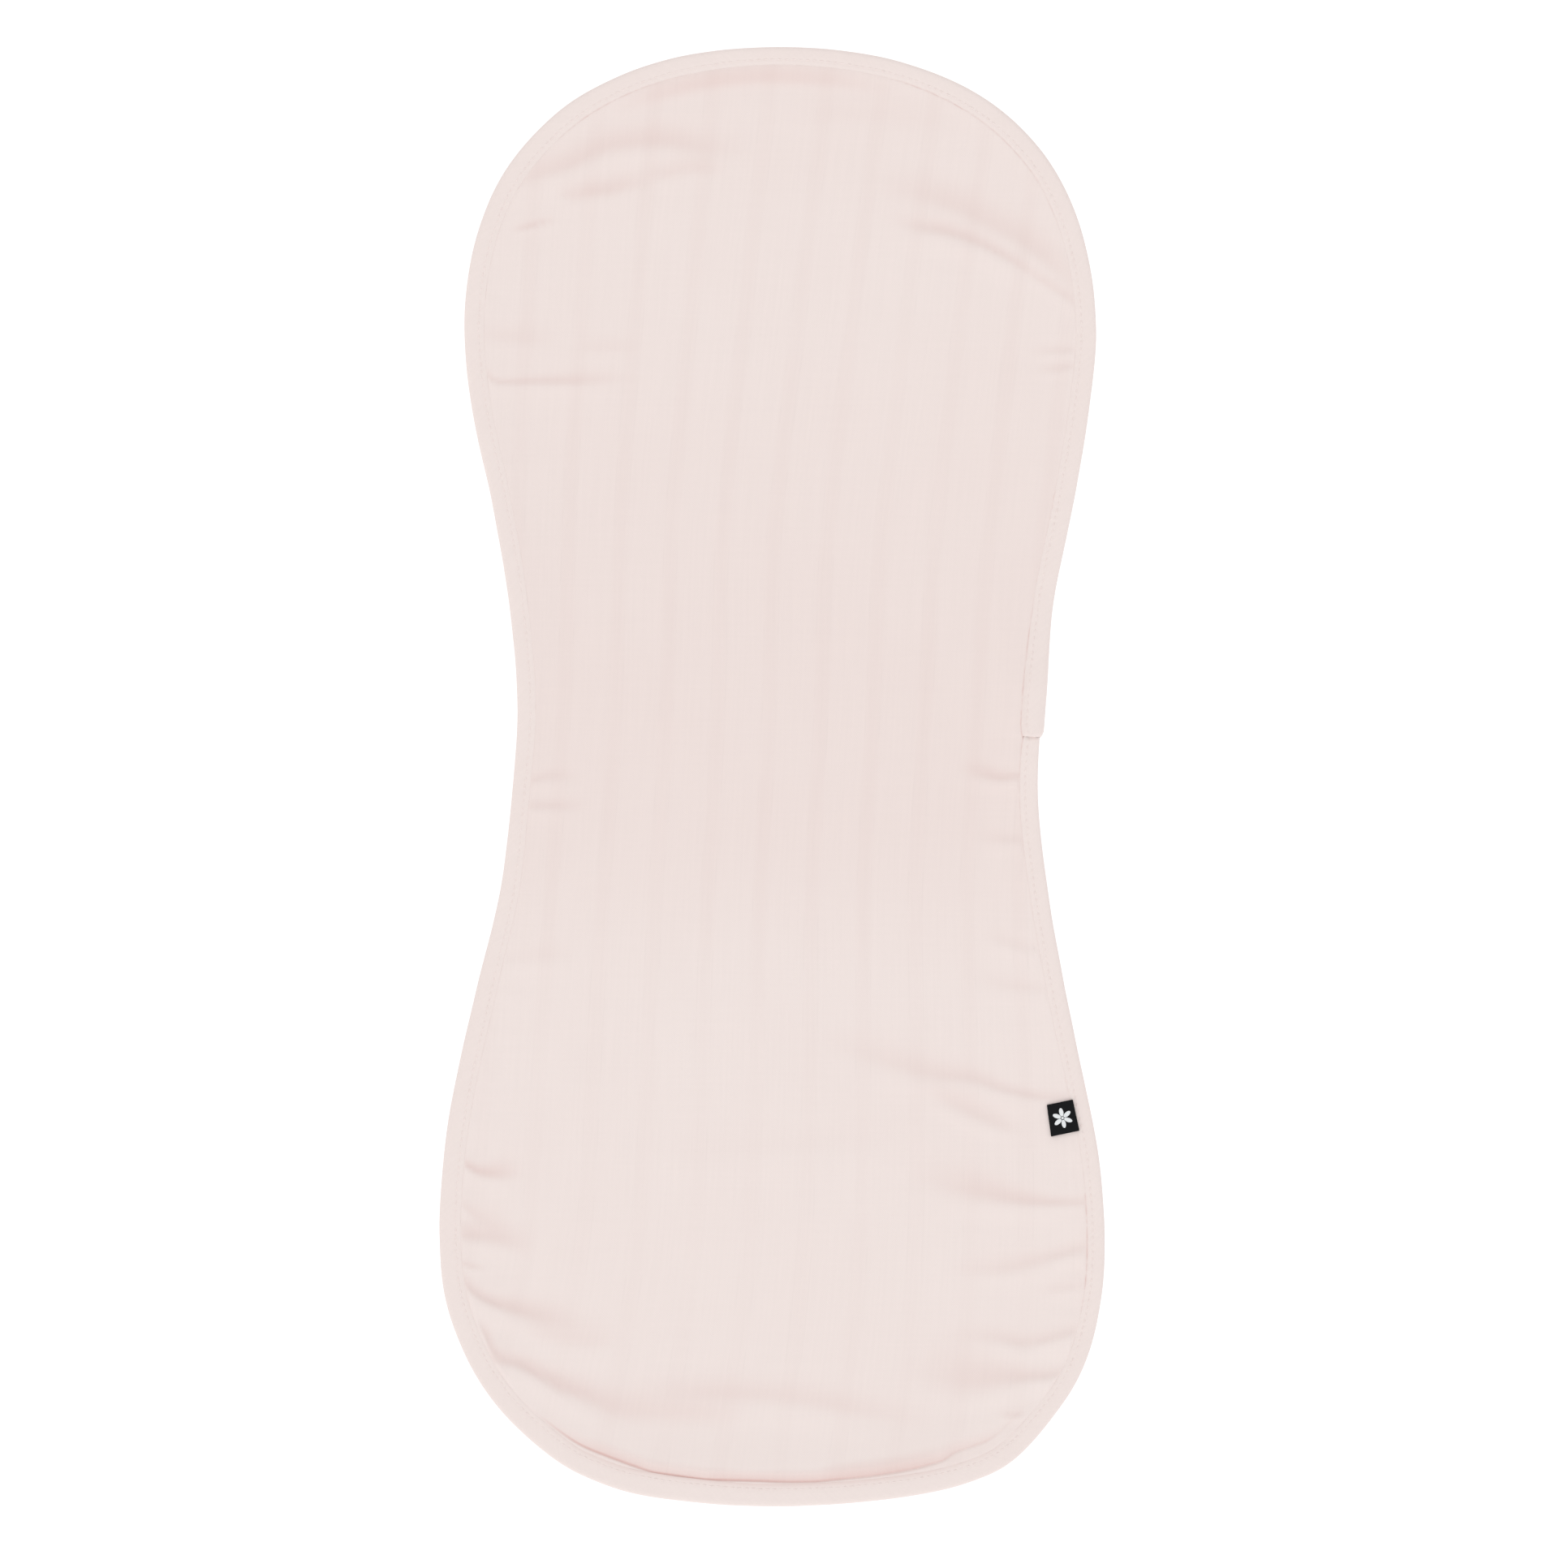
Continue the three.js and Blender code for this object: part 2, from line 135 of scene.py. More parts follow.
# Tucks and creases that run from the seam into the panel. "line" follows the foot of the steep side,
# from its seam end inwards. The cloth stands "high" beside it, rises over "steep" and falls off over
# "soft", away from the top end. "ends" says which ends fade out: 1 the inner one, 2 both. "deep" is how
# much painted shade darkens the colour at its foot, and "wide" how much wider it gets inwards.
Tuck = namedtuple("Tuck", "line high steep soft ends deep wide")
TUCKS = [
    Tuck([(38, 195.2), (44, 193.8), (50, 191.8), (60, 190.2), (71.7, 186.2), (85.5, 178.7), (99, 168.6)],
         0.8, 2.4, 9, 2, 0.42, 0.6),
    Tuck([(114, 162), (105, 172), (88.3, 186.5), (74.4, 194), (63.4, 199.5), (48, 204), (31, 206.5)],
         0.5, 3.6, 7, 2, 0.3, 1.2),
    Tuck([(105, 165.5), (97, 171), (88, 177)], 0.3, 1.6, 4, 1, 0.24, 1),
    Tuck([(106.5, 148.5), (97, 148.3), (88, 147.5)], 0.3, 1.1, 3, 1, 0.17, 1.4),
    Tuck([(105.5, 142.8), (98, 142), (91, 141.6)], 0.3, 1.1, 3, 1, 0.22, 1.4),
    Tuck([(-100, 199), (-86, 208.2), (-70.4, 213.5), (-58.4, 219.2), (-47.7, 221.2), (-35.7, 221.5),
          (-24, 219.2), (-4, 218.2)], 0.5, 3.3, 7, 2, 0.38, 1.1),
    Tuck([(-69, 202.4), (-63.7, 203.5), (-57, 204.4), (-50, 206.2), (-38, 207.7)],
         0.33, 2.7, 5, 1, 0.42, 1),
    Tuck([(-48, 209.4), (-38, 209.9), (-28, 211.9), (-14, 210.7)], 0.16, 2.6, 4, 2, 0.27, 1),
    Tuck([(-92, 189.8), (-84.5, 191.6), (-79.5, 193), (-74, 194.2)], 0.3, 1.0, 3, 2, 0.38, 1),
    Tuck([(-99.5, 140.5), (-97.5, 138.3), (-94, 137.3), (-85, 137.6), (-68, 137.9), (-54, 138.6),
          (-44, 139)], 0.4, 0.95, 6, 1, 0.4, 2.2),
    Tuck([(-99, 153.5), (-85, 152.8), (-72, 153)], 0.2, 2.4, 5, 1, 0.16, 1.4),
    Tuck([(-70, 149.3), (-58, 149.6), (-44, 149.3)], 0.16, 2.6, 5, 2, 0.13, 1.0),
    Tuck([(-86, -2), (-77, 0.2), (-66, -0.3)], 0.4, 1.3, 5, 1, 0.22, 1.5),
    Tuck([(-87, -10.2), (-72, -10.2), (-62, -10.2)], 0.4, 1.2, 5.5, 1, 0.22, 1.6),
    Tuck([(-91, -63), (-77, -62), (-66, -62)], 0.25, 2.2, 6, 1, 0.08, 1.3),
    Tuck([(88, 0), (84.5, 0), (79, -0.2), (73, 1.4), (64, 4.2)], 0.6, 1.1, 5.5, 1, 0.38, 2.4),
    Tuck([(88.5, -21.8), (80, -21.6), (68, -20.2)], 0.35, 1.6, 6, 1, 0.13, 1.5),
    Tuck([(90, -59.5), (82, -57.5), (72, -53)], 0.3, 1.8, 5, 1, 0.1, 1.4),
    Tuck([(94, -73.8), (82, -72.5), (68, -70.5)], 0.35, 1.9, 7, 1, 0.13, 1.5),
    Tuck([(105, -112.6), (96, -111.8), (89, -110.7), (79, -108.1), (70, -104.9), (57, -103.3), (44, -99.9),
          (26, -93.8), (10, -88.3)], 0.6, 1.5, 9, 1, 0.3, 3.0),
    Tuck([(90, -125), (80, -121), (70.4, -116.7), (50, -106)], 0.5, 2.6, 6, 2, 0.24, 1.3),
    Tuck([(110.5, -148.2), (104, -148.3), (97.5, -148.2), (89, -147.6), (79, -145.8), (67, -143.2),
          (54, -139.6), (44, -137.6)], 0.6, 1.4, 8, 1, 0.42, 3.8),
    Tuck([(109.8, -163.5), (99.2, -166.7), (89, -169.5), (79, -171.3), (58, -171.7)],
         0.55, 1.8, 6.5, 1, 0.27, 1.6),
    Tuck([(107, -177.3), (99, -178.3), (91, -180.3)], 0.25, 1.4, 3, 1, 0.14, 1.3),
    Tuck([(105, -193), (95.8, -195.6), (87.4, -197), (78.9, -195.4), (58, -195)],
         0.6, 1.8, 6.5, 1, 0.28, 1.5),
    Tuck([(103, -207.1), (97, -208.2), (90, -208.8), (79, -209.4), (67, -209.8), (56, -207.2),
          (42, -204.3)], 0.7, 1.8, 7, 1, 0.38, 4.4),
    Tuck([(89, -221.8), (84, -222.2), (78, -221.8)], 0.35, 0.9, 2, 2, 0.2, 1.2),
    Tuck([(-109, -133.7), (-106, -135.3), (-102.4, -137.3), (-98, -138.1), (-92, -137.9), (-85, -137.5)],
         0.45, 1.15, 6, 1, 0.6, 2.6),
    Tuck([(-109, -147.6), (-104, -151.8), (-98, -154.8), (-90, -157.3)], 0.25, 1.3, 3, 1, 0.22, 3),
    Tuck([(-110, -159), (-103, -159.6), (-97, -160.2), (-90, -162.1), (-82, -166.6)],
         0.5, 2.8, 6, 1, 0.39, 1.3),
    Tuck([(-109, -169.2), (-103.5, -170.6), (-99, -171.5)], 0.25, 0.7, 2.5, 1, 0.3, 1.4),
    Tuck([(-107.5, -175.7), (-102.9, -179.9), (-97, -183.1), (-91, -184.9), (-84, -187.1), (-74, -188.9),
          (-62, -190.3)], 0.75, 1.5, 8, 1, 0.48, 2.6),
    Tuck([(-90, -189.5), (-78, -193.5), (-64, -196), (-50, -194.5)], 0.2, 4.4, 6, 2, 0.22, 1.0),
    Tuck([(-102.4, -188), (-99.2, -195.1), (-96.7, -200.1), (-91.7, -203.3)], 0.3, 1.2, 3, 2, 0.4, 1),
    Tuck([(-97, -202.6), (-89, -204.1), (-83.8, -206.5), (-78.8, -209.3), (-73.8, -211.9), (-65, -215.3),
          (-53, -220.7), (-38, -225.3)], 0.8, 2.1, 8, 1, 0.53, 1.8),
    Tuck([(-52, -210.8), (-30, -213.6), (-12, -214.9), (8, -216.3), (28, -219.8), (60, -225.3)],
         0.35, 3.6, 10, 2, 0.28, 1.0),
    Tuck([(-64, -218), (-36, -221), (-6, -222)], 0.12, 5, 6, 2, 0.29, 1),
    Tuck([(60, -128), (30, -126), (-20, -129), (-60, -131)], 0.2, 5, 9, 2, 0.04, 1.0),
    Tuck([(-62, 229), (-50, 234), (-42, 236.7), (-26, 240.9), (-8, 243.3), (12, 243.1), (28, 241.5),
          (48, 237.5)], -0.27, 3.6, 6, 2, 0.46, 1),
    Tuck([(0, 230), (35, 231), (70, 225)], 0.1, 5, 8, 2, 0.1, 1),
]
TUCK_BEND_STEPS = 10

# A tuck across its length, in shares of its steepness: where its steep side stands and how sharp that is,
# the dip at its foot, and how far its shade spreads below and above the foot.
TUCK_LEAN = 0.35
TUCK_SHARP = 0.55
TUCK_DIP = 0.22
TUCK_DIP_AT = 0.5
TUCK_DIP_WIDE = 1.4
TUCK_SHADE_BELOW = 1.5
TUCK_SHADE_ABOVE = 0.7
TUCK_REACH = 2.2
TUCK_WHOLE = 0.6

# A tuck along its length, in shares of it: over which it widens, from where it fades out with its outer
# end firm or soft, over which each kind of outer end grows, and how strong a firm one starts.
TUCK_WIDENS = (0.1, 0.8)
TUCK_FADES = {1: 0.4, 2: 0.62}
TUCK_SOFT_END = 0.35
TUCK_FIRM_END = 0.2
TUCK_SEAM_SHARE = 0.7
TUCK_SHADE_LASTS = 0.8

# How sharply neighbouring tucks stay apart, and how far round the label, in its widths, none shows.
TUCK_APART = 4
LABEL_CALM = (0.55, 1.1)

# Small puckers pulled up by the stitches: where along the seam, and how much: share of the way, amount.
PUCKERS = [
    (0, 0.35),
    (0.07, 0.5),
    (0.14, 0.9),
    (0.2, 0.5),
    (0.27, 0.8),
    (0.33, 0.8),
    (0.38, 1.7),
    (0.44, 1.0),
    (0.5, 0.35),
    (0.56, 0.9),
    (0.62, 1.7),
    (0.67, 1.2),
    (0.74, 0.9),
    (0.8, 0.5),
    (0.88, 0.8),
    (0.94, 0.5),
    (1, 0.35),
]
PUCKER_HIGH = 0.3
PUCKER_LONG = 5.5
PUCKER_REACH = 7
PUCKER_SEED = 3.7

# Round the bottom end the panel swells up behind a sharp crease. For each share of the way round: how
# far it swells, how far inside the strip the crease runs, how deep the painted shade in the crease is, how
# deep the soft painted shade behind it is, and how far that shade reaches.
SWELLS = [
    (0.42, 0, 3.2, 0, 0, 3),
    (0.434, 0.2, 3.2, 0.1, 0.15, 3),
    (0.44, 0.4, 3.5, 0.25, 0.42, 3.8),
    (0.4465, 0.6, 4.0, 0.2, 0.45, 4.4),
    (0.4505, 0.7, 4.0, 0.25, 0.5, 4.6),
    (0.4545, 0.8, 2.3, 0.3, 0.65, 5.6),
    (0.46, 0.9, 1.8, 0.3, 0.85, 6.5),
    (0.465, 1, 1.4, 0.35, 1.0, 6.5),
    (0.475, 1, 1.0, 0.4, 1.05, 6.5),
    (0.48, 1, 0.9, 0.45, 1.1, 6.5),
    (0.485, 1, 0.8, 0.6, 1.0, 6),
    (0.49, 1, 0.5, 0.8, 1.0, 4.8),
    (0.4975, 1, 0.7, 0.85, 1.0, 4.8),
    (0.505, 1, 0.95, 0.95, 1.0, 4.4),
    (0.51, 1, 0.85, 1, 1.0, 4.2),
    (0.515, 1, 0.5, 1, 0.95, 4.6),
    (0.52, 1, 0.05, 1, 0.8, 5),
    (0.53, 0.9, 0.2, 0.95, 0.8, 4.8),
    (0.535, 0.9, 0.2, 0.85, 0.75, 5),
    (0.54, 0.8, 1.0, 0.95, 0.85, 4.8),
    (0.545, 0.8, 1.45, 0.95, 0.85, 4.8),
    (0.55, 0.7, 1.5, 0.95, 0.8, 4.8),
    (0.555, 0.6, 1.35, 0.85, 0.65, 4.4),
    (0.56, 0.5, 1.1, 0.75, 0.45, 4),
    (0.565, 0.3, 0.9, 0.5, 0.25, 3.4),
    (0.572, 0.1, 0.6, 0.1, 0, 3),
    (0.58, 0, 0, 0, 0, 3),
]
SWELL_HIGH = 1.0
SWELL_RISE = 3.6
SWELL_WIDE = 9
CREASE_DEEP = 0.35
CREASE_WIDE = 0.4
# The next two are painted shade: more darkening right in the crease, and between the strip and the crease.
CREASE_PAINTED_SHADE = 0.7
SHADE_AT_LIP = 0.15

# The panel's upper face beside the strip: distance past the strip's inner edge, and height.
SEAM_FACE = [
    (-2.2, 2.3),
    (-1.1, 2.6),
    (-0.3, 3.04),
    (-0.15, 3.17),
    (-0.08, 3.27),
    (-0.03, 3.33),
    (0.03, 3.36),
    (0.2, 3.37),
    (0.8, 3.36),
    (1.6, 3.28),
    (4, 3.0),
    (8, 2.7),
    (14, 2.4),
    (24, 2.1),
    (40, 2),
]
SEAM_RINGS = [
    -2.2, -1.1, -0.3, -0.15, -0.08, -0.03, 0.03, 0.1, 0.2, 0.36, 0.54, 0.75, 1.0, 1.25, 1.5, 1.8, 2.1, 2.4,
    2.7, 3.0, 3.35, 3.7, 4.1, 4.6, 5.3, 6.2, 7.3, 8.6,
]
JOIN_HEAP = 0.3

# Over which distances past the strip's inner edge the doubled strip's lift dies away, the cloth heaps up
# against it, and the slack and the tucks grow.
LIFT_DIES = (1, 14)
HEAP_GROWS = (-0.3, 0)
HEAP_DIES = (2, 8)
SLACK_GROWS = (6, 24)
TUCKS_GROW = (-0.1, 1.2)

# How deep the painted shade is in the thin line beside the strip: share of the way round, and how deep.
SEAM_SHADE_LINE = [
    (0, 0.05),
    (0.03, 0.06),
    (0.038, 0.6),
    (0.085, 0.5),
    (0.1, 0.05),
    (0.17, 0.05),
    (0.176, 0.75),
    (0.182, 0.06),
    (0.2, 0.06),
    (0.208, 0.55),
    (0.236, 0.6),
    (0.245, 0.2),
    (0.31, 0.05),
    (0.326, 0.06),
    (0.331, 0.65),
    (0.338, 0.05),
    (0.356, 0.06),
    (0.361, 0.8),
    (0.386, 0.7),
    (0.392, 0.06),
    (0.43, 0.06),
    (0.6, 0.06),
    (0.93, 0.05),
    (0.945, 0.6),
    (0.968, 0.5),
    (0.975, 0.05),
    (1, 0.05),
]
SEAM_LINE_WIDE = 0.32

# How that line breaks up between the stitches: fine and slow noise, each as its length, amount and seed.
LINE_EVEN = 0.75
LINE_FINE = (1.7, 1.6, 6.4)
LINE_SLOW = (9, 0.6, 9.2)
LINE_LIMITS = (0.15, 1.8)

# The panel's rings: how far in from the edge the first band reaches, and how many rings each part has.
SEAM_BAND = 18
BAND_RINGS = 6
MIDDLE_RINGS = 46
UNDER_RINGS = 10
UNDER_STEPS = (0, 2, 4, 6)
UNDER_START = 0.5
UNDER_FALL = 5
SPINE_TOP = 148
SPINE_BOTTOM = -142
PANEL_STATIONS = 1000

# Slack of the laid cloth: broad shallow waves.
SLACK_HIGH = 0.25
SLACK_LONG = 46
SLACK_SEED = 11.3

# How the warp lies in the cloth as laid: height, where its middle stripe runs, and the stripes' pitch to
# its left and to its right.
WARP = [
    (254, 20.5, 20.2, 19.2),
    (230, 18.4, 19.7, 19),
    (191, 12.8, 19.3, 18.9),
    (152, 8.8, 18.9, 18.6),
    (113, 3.5, 18.3, 18.9),
    (74, -0.4, 17.7, 18.7),
    (35, -0.5, 17.8, 18.2),
    (-4, -2, 18, 17.9),
    (-43, -4.5, 18.2, 18),
    (-82, -5.1, 18.7, 18.5),
    (-121, -6, 19, 18.9),
    (-160, -7.4, 19.3, 19.2),
    (-199, -11.3, 20.2, 19.7),
    (-238, -18, 21, 20.2),
    (-254, -20.5, 21.2, 20.4),
]
WARP_PITCH = 17.8
WARP_BEND = 18
WARP_LEVELS = np.arange(-270, 271, 3.0)

# The strip's mesh: its rows, closer together at its piecing, and the points of each part of a row.
STRIP_STATIONS = 1300
PIECING_STATIONS = 40
PIECING_REACH = 5
STRIP_LEG_POINTS = 11
STRIP_TIP_POINTS = 4
STRIP_FOLD_POINTS = 11
STRIP_LEG_CROWD = 1.4

# The furrow that the stitches press into the strip, evenly and at each stitch, and the puffs between.
FURROW_WIDE = 0.6
FURROW_DEEP = 0.08
FURROW_STITCH = 0.1
PUFF_HIGH = 0.09
PUFF_LONG = 7
PUFF_SEED = 5.1
FINE_HIGH = 0.05
FINE_LONG = 2.3
FINE_SEED = 8.6
LIP_PUFF = 0.08
LIP_PUFF_IN = 0.7
LIP_PUFF_WIDE = 0.5
FOLD_BOW = 0.12
FOLD_BOW_LONG = 16
FOLD_BOW_SEED = 2.2

# The groove of the piecing, and the low ridge of its seam allowance past it: over which distances that
# grows and dies away.
PIECING_WIDE = 0.35
PIECING_RIDGE = 0.15
RIDGE_GROWS = (0, 1.2)
RIDGE_DIES = (4, 7)

# How deep the painted shade on the strip is at its piecing and at its finishing end, which is paler near
# the panel.
PIECING_SHADE = 0.5
PIECING_SHADE_WIDE = 0.3
END_SHADE = 0.8
END_SHADE_WIDE = 0.35
END_PALER = 0.85
END_PALES = (3.6, 4.8)

# How deep the painted shade on the strip is beside the panel, in shares of the panel's own, and at its
# fold.
STRIP_LINE_SHARE = 0.6
STRIP_CREASE_SHARE = 0.5
STRIP_SHADE_SHARE = 0.4
STRIP_SHADE_WIDE = 1.4
FOLD_DEEP = 0.1
FOLD_DEEP_WIDE = 0.4
STRIP_DEEPEST = 0.9

# How uneven the stitches are in slant, place across the seam and length, and how deep their ends dip.
STITCH_SLANT = 0.035
STITCH_DRIFT = 0.06
STITCH_STRETCH = 0.05
STITCH_DIP = 0.12
STITCH_SEED = 41

# The label, square to the seam, and its folded ribbon.
LABEL_Y = -116.6
LABEL_HIGH = 10.9
LABEL_WIDE = 9.6
LABEL_LAP = 0.8
LABEL_FLARE = 0.047
RIBBON_THICK = 0.35
RIBBON_GAP = 0.15
RIBBON_SLIP = 0.15
RIBBON_CLEAR = 0.1
LABEL_CLEAR = 1.2
LABEL_CURL = 0.08
LABEL_BEVEL = 0.08
LABEL_STATIONS = 14
LABEL_COLUMNS = 15
LABEL_TURN_POINTS = 9

# The flower on the label: how far out a petal lies, and the sizes of a petal and of its middle.
PETALS = 6
PETAL_OUT = 2.05
PETAL_SIZE = (3.0, 1.5, 0.34)
FLOWER_EYE = (0.9, 0.9, 0.42)

# Colours, as linear red, green and blue.
MUSLIN = (0.819, 0.7238, 0.694)
MUSLIN_STRIP = (0.815, 0.718, 0.6875)
THREAD = (0.83, 0.73, 0.70)
DEEPENED = (0.47, 1.0, 1.06)
# How far the painted shade stored on the meshes darkens the muslin's colour.
PAINTED_SHADE_DEEP = 0.2
WAIST_DEEP = 0.03
TOP_DEEP = 0.012
STRIPE_DEEP = 0.013
STRIPE_SHADE = 0.006
LINE_SHADE = 0.02
RIBBON_BLACK = (0.0045, 0.005, 0.0056)
MOTIF_GREY = (0.74, 0.765, 0.775)
FLOOR_WHITE = (0.16, 0.16, 0.16)
FLOOR_UNEVEN = 0.01
FLOOR_GLOW = 0.95
AIR_GLOW = 0.93

# The floor, in metres: its size, and how far below the cloth it lies.
FLOOR_SIZE = 9
FLOOR_DROP = 0.0001

# The lamps: name, strength, how broad, how far down from upright and how far turned, in degrees.
LAMPS = [
    ("key lamp", 0.55, 50, 48, -8),
    ("side lamp", 0.08, 50, 55, -70),
]

# The weave, in metres: threads for each metre of muslin and ribbon, how high a thread stands and how far
# it wanders.
MUSLIN_THREADS = 4400.0
RIBBON_THREADS = 5200.0
THREAD_HIGH = 0.00008
THREAD_WANDER = 0.0003

# Noise, in clouds to the metre: for the wander of the threads, the slubs along the warp and the weft, the
# muslin's mottling, the breaks in a stripe and in its lines, the thread's twist, the satin stitches and
# the floor.
WANDER_CLOUDS = 420.0
WARP_SLUBS = (1100.0, 26.0, 1.0)
WEFT_SLUBS = (30.0, 1000.0, 1.0)
WARP_SLUB_SHARE = 0.65
MOTTLE_CLOUDS = 22.0
STRIPE_CLOUDS = 14.0
LINE_CLOUDS = 75.0
TWIST_CLOUDS = 2600.0
SATIN_CLOUDS = 3800.0
FLOOR_CLOUDS = 3.0

# How uneven the colour is: the muslin with its slubs, its threads and its mottling, the thread with its
# twist and the satin stitches with their lay.
SLUB_SHADE = 0.05
THREAD_SHADE = 0.03
MOTTLE_DEEP = 0.03
TWIST_SHADE = 0.14
SATIN_SHADE = 0.5

# A stripe, in metres from its middle: over which its soft band fades, where its fine lines run and over
# which they fade.
BAND_FADES = (0.0038, 0.0008)
LINE_AWAY = 0.0024
LINE_FADES = (0.0003, 0.00005)

# How far a stripe comes and goes: the noise levels between which it and its lines show, how strong it is
# at least and how much more it gets, and its strength near the bottom end.
STRIPE_SHOWS = (0.25, 0.7)
LINE_SHOWS = (0.45, 0.62)
STRIPE_LEAST = 0.55
STRIPE_MORE = 0.7
STRIPE_LOWER = 0.55

# Heights in the flat cloth, in metres: over which the stripes gain strength, the waist's deeper colour
# comes and goes, and the top end's comes.
STRIPES_GAIN = (-0.1, -0.045)
WAIST_COMES = (-0.075, -0.01)
WAIST_GOES = (0.2, 0.03)
TOP_COMES = (0.16, 0.23)


def ease(low, high, value):
    """0 below low, 1 above high, and a smooth change between them."""
    share = np.clip((value - low) / (high - low), 0, 1)
    return share * share * (3 - 2 * share)


def bell(value, wide):
    """1 at 0, and falling off smoothly to both sides over a width."""
    return np.exp(-((value / wide) ** 2))


def smooth_line(corners, steps, closed=False):
    """Points along a smooth line through the corners, with so many steps from each one to the next."""
    corners = np.array(corners, float)
    if closed:
        path = np.vstack([corners[-1], corners, corners[:2]])
    else:
        first = 2 * corners[0] - corners[1]
        last = 2 * corners[-1] - corners[-2]
        path = np.vstack([first, corners, last])
    share = np.arange(steps) / steps
    rows = []
    for a, b, c, d in zip(path, path[1:], path[2:], path[3:]):
        before, across, after = (math.sqrt(math.dist(p, q)) for p, q in ((a, b), (b, c), (c, d)))
        leave = ((b - a) / before - (c - a) / (before + across) + (c - b) / across) * across
        arrive = ((c - b) / across - (d - b) / (across + after) + (d - c) / after) * across
        t = share[:, None]
        rows.append(
            b
            + leave * t
            + (3 * (c - b) - 2 * leave - arrive) * t**2
            + (2 * (b - c) + leave + arrive) * t**3
        )
    rows.append(corners[:1] if closed else corners[-1:])
    return np.vstack(rows)


def finished_edge():
    """The cloth's edge, clockwise from the top end: length run so far, place and inward direction."""
    down = [(right, y) for y, left, right in SECTIONS]
    up = [(left, y) for y, left, right in SECTIONS[-2:0:-1]]
    points = smooth_line(down + up, EDGE_STEPS, closed=True)
    steps = np.linalg.norm(np.diff(points, axis=0), axis=1)
    run = np.concatenate([[0], np.cumsum(steps)])
    along = np.vstack([points[1] - points[-2], points[2:] - points[:-2], points[1] - points[-2]])
    along /= np.linalg.norm(along, axis=1)[:, None]
    inward = np.stack([along[:, 1], -along[:, 0]], axis=1)
    return run, points, inward


EDGE_RUN, EDGE_POINTS, EDGE_INWARD = finished_edge()
AROUND = EDGE_RUN[-1]
TURN_INDEX = EDGE_STEPS * (len(SECTIONS) - 1)
TURN = EDGE_RUN[TURN_INDEX]


def run_on_right(y):
    """The length run at which the right side passes a height."""
    return float(np.interp(-y, -EDGE_POINTS[:TURN_INDEX, 1], EDGE_RUN[:TURN_INDEX]))


JOIN_RUN = run_on_right(JOIN_Y)
PIECING_RUN = run_on_right(PIECING_Y)


def on_edge(run):
    """Place and inward direction on the edge, for each length run."""
    turned = np.mod(run, AROUND)
    place = np.stack([np.interp(turned, EDGE_RUN, EDGE_POINTS[:, k]) for k in (0, 1)], axis=-1)
    inward = np.stack([np.interp(turned, EDGE_RUN, EDGE_INWARD[:, k]) for k in (0, 1)], axis=-1)
    return place, inward / np.linalg.norm(inward, axis=-1)[..., None]


def past_join(run):
    """How far each length run lies past the join, which is below it, or less than 0 above it."""
    return np.mod(run - JOIN_RUN + AROUND / 2, AROUND) - AROUND / 2


def doubled(run):
    """How far the doubled strip at the join raises the layers, from 0 to 1."""
    past = past_join(run)
    below = 1 - ease(0, JOIN_EASE, past)
    above = 1 - ease(JOIN_COVER, JOIN_COVER + JOIN_EASE, -past)
    return np.where(past >= 0, below, above)


def wrapped(run):
    """How far the strip's finishing end covers its start, from 0 to 1."""
    return np.where(past_join(run) < 0, doubled(run), 0.0)


def strip_width(run):
    """The strip's visible width at a length run."""
    at = np.mod(run, AROUND) / AROUND * len(STRIP_WIDTHS)
    low = np.floor(at).astype(int) % len(STRIP_WIDTHS)
    widths = np.array(STRIP_WIDTHS)
    wide = widths[low] + (widths[(low + 1) % len(widths)] - widths[low]) * ease(0, 1, at - np.floor(at))
    past = past_join(run)
    drawn = np.exp(-np.abs(past) / np.where(past < 0, JOIN_DRAW_UP, JOIN_DRAW_DOWN))
    return wide - JOIN_DRAW * drawn


def middle_height(run):
    """The height of the middle of the pressed edge."""
    return STRIP_OUT + JOIN_LIFT * doubled(run)


def by_share(rows, column, run):
    """A column of a table whose first column is the share of the way round, read between its rows."""
    shares = [row[0] for row in rows]
    values = [row[column] for row in rows]
    return np.interp(np.mod(run, AROUND) / AROUND, shares, values)


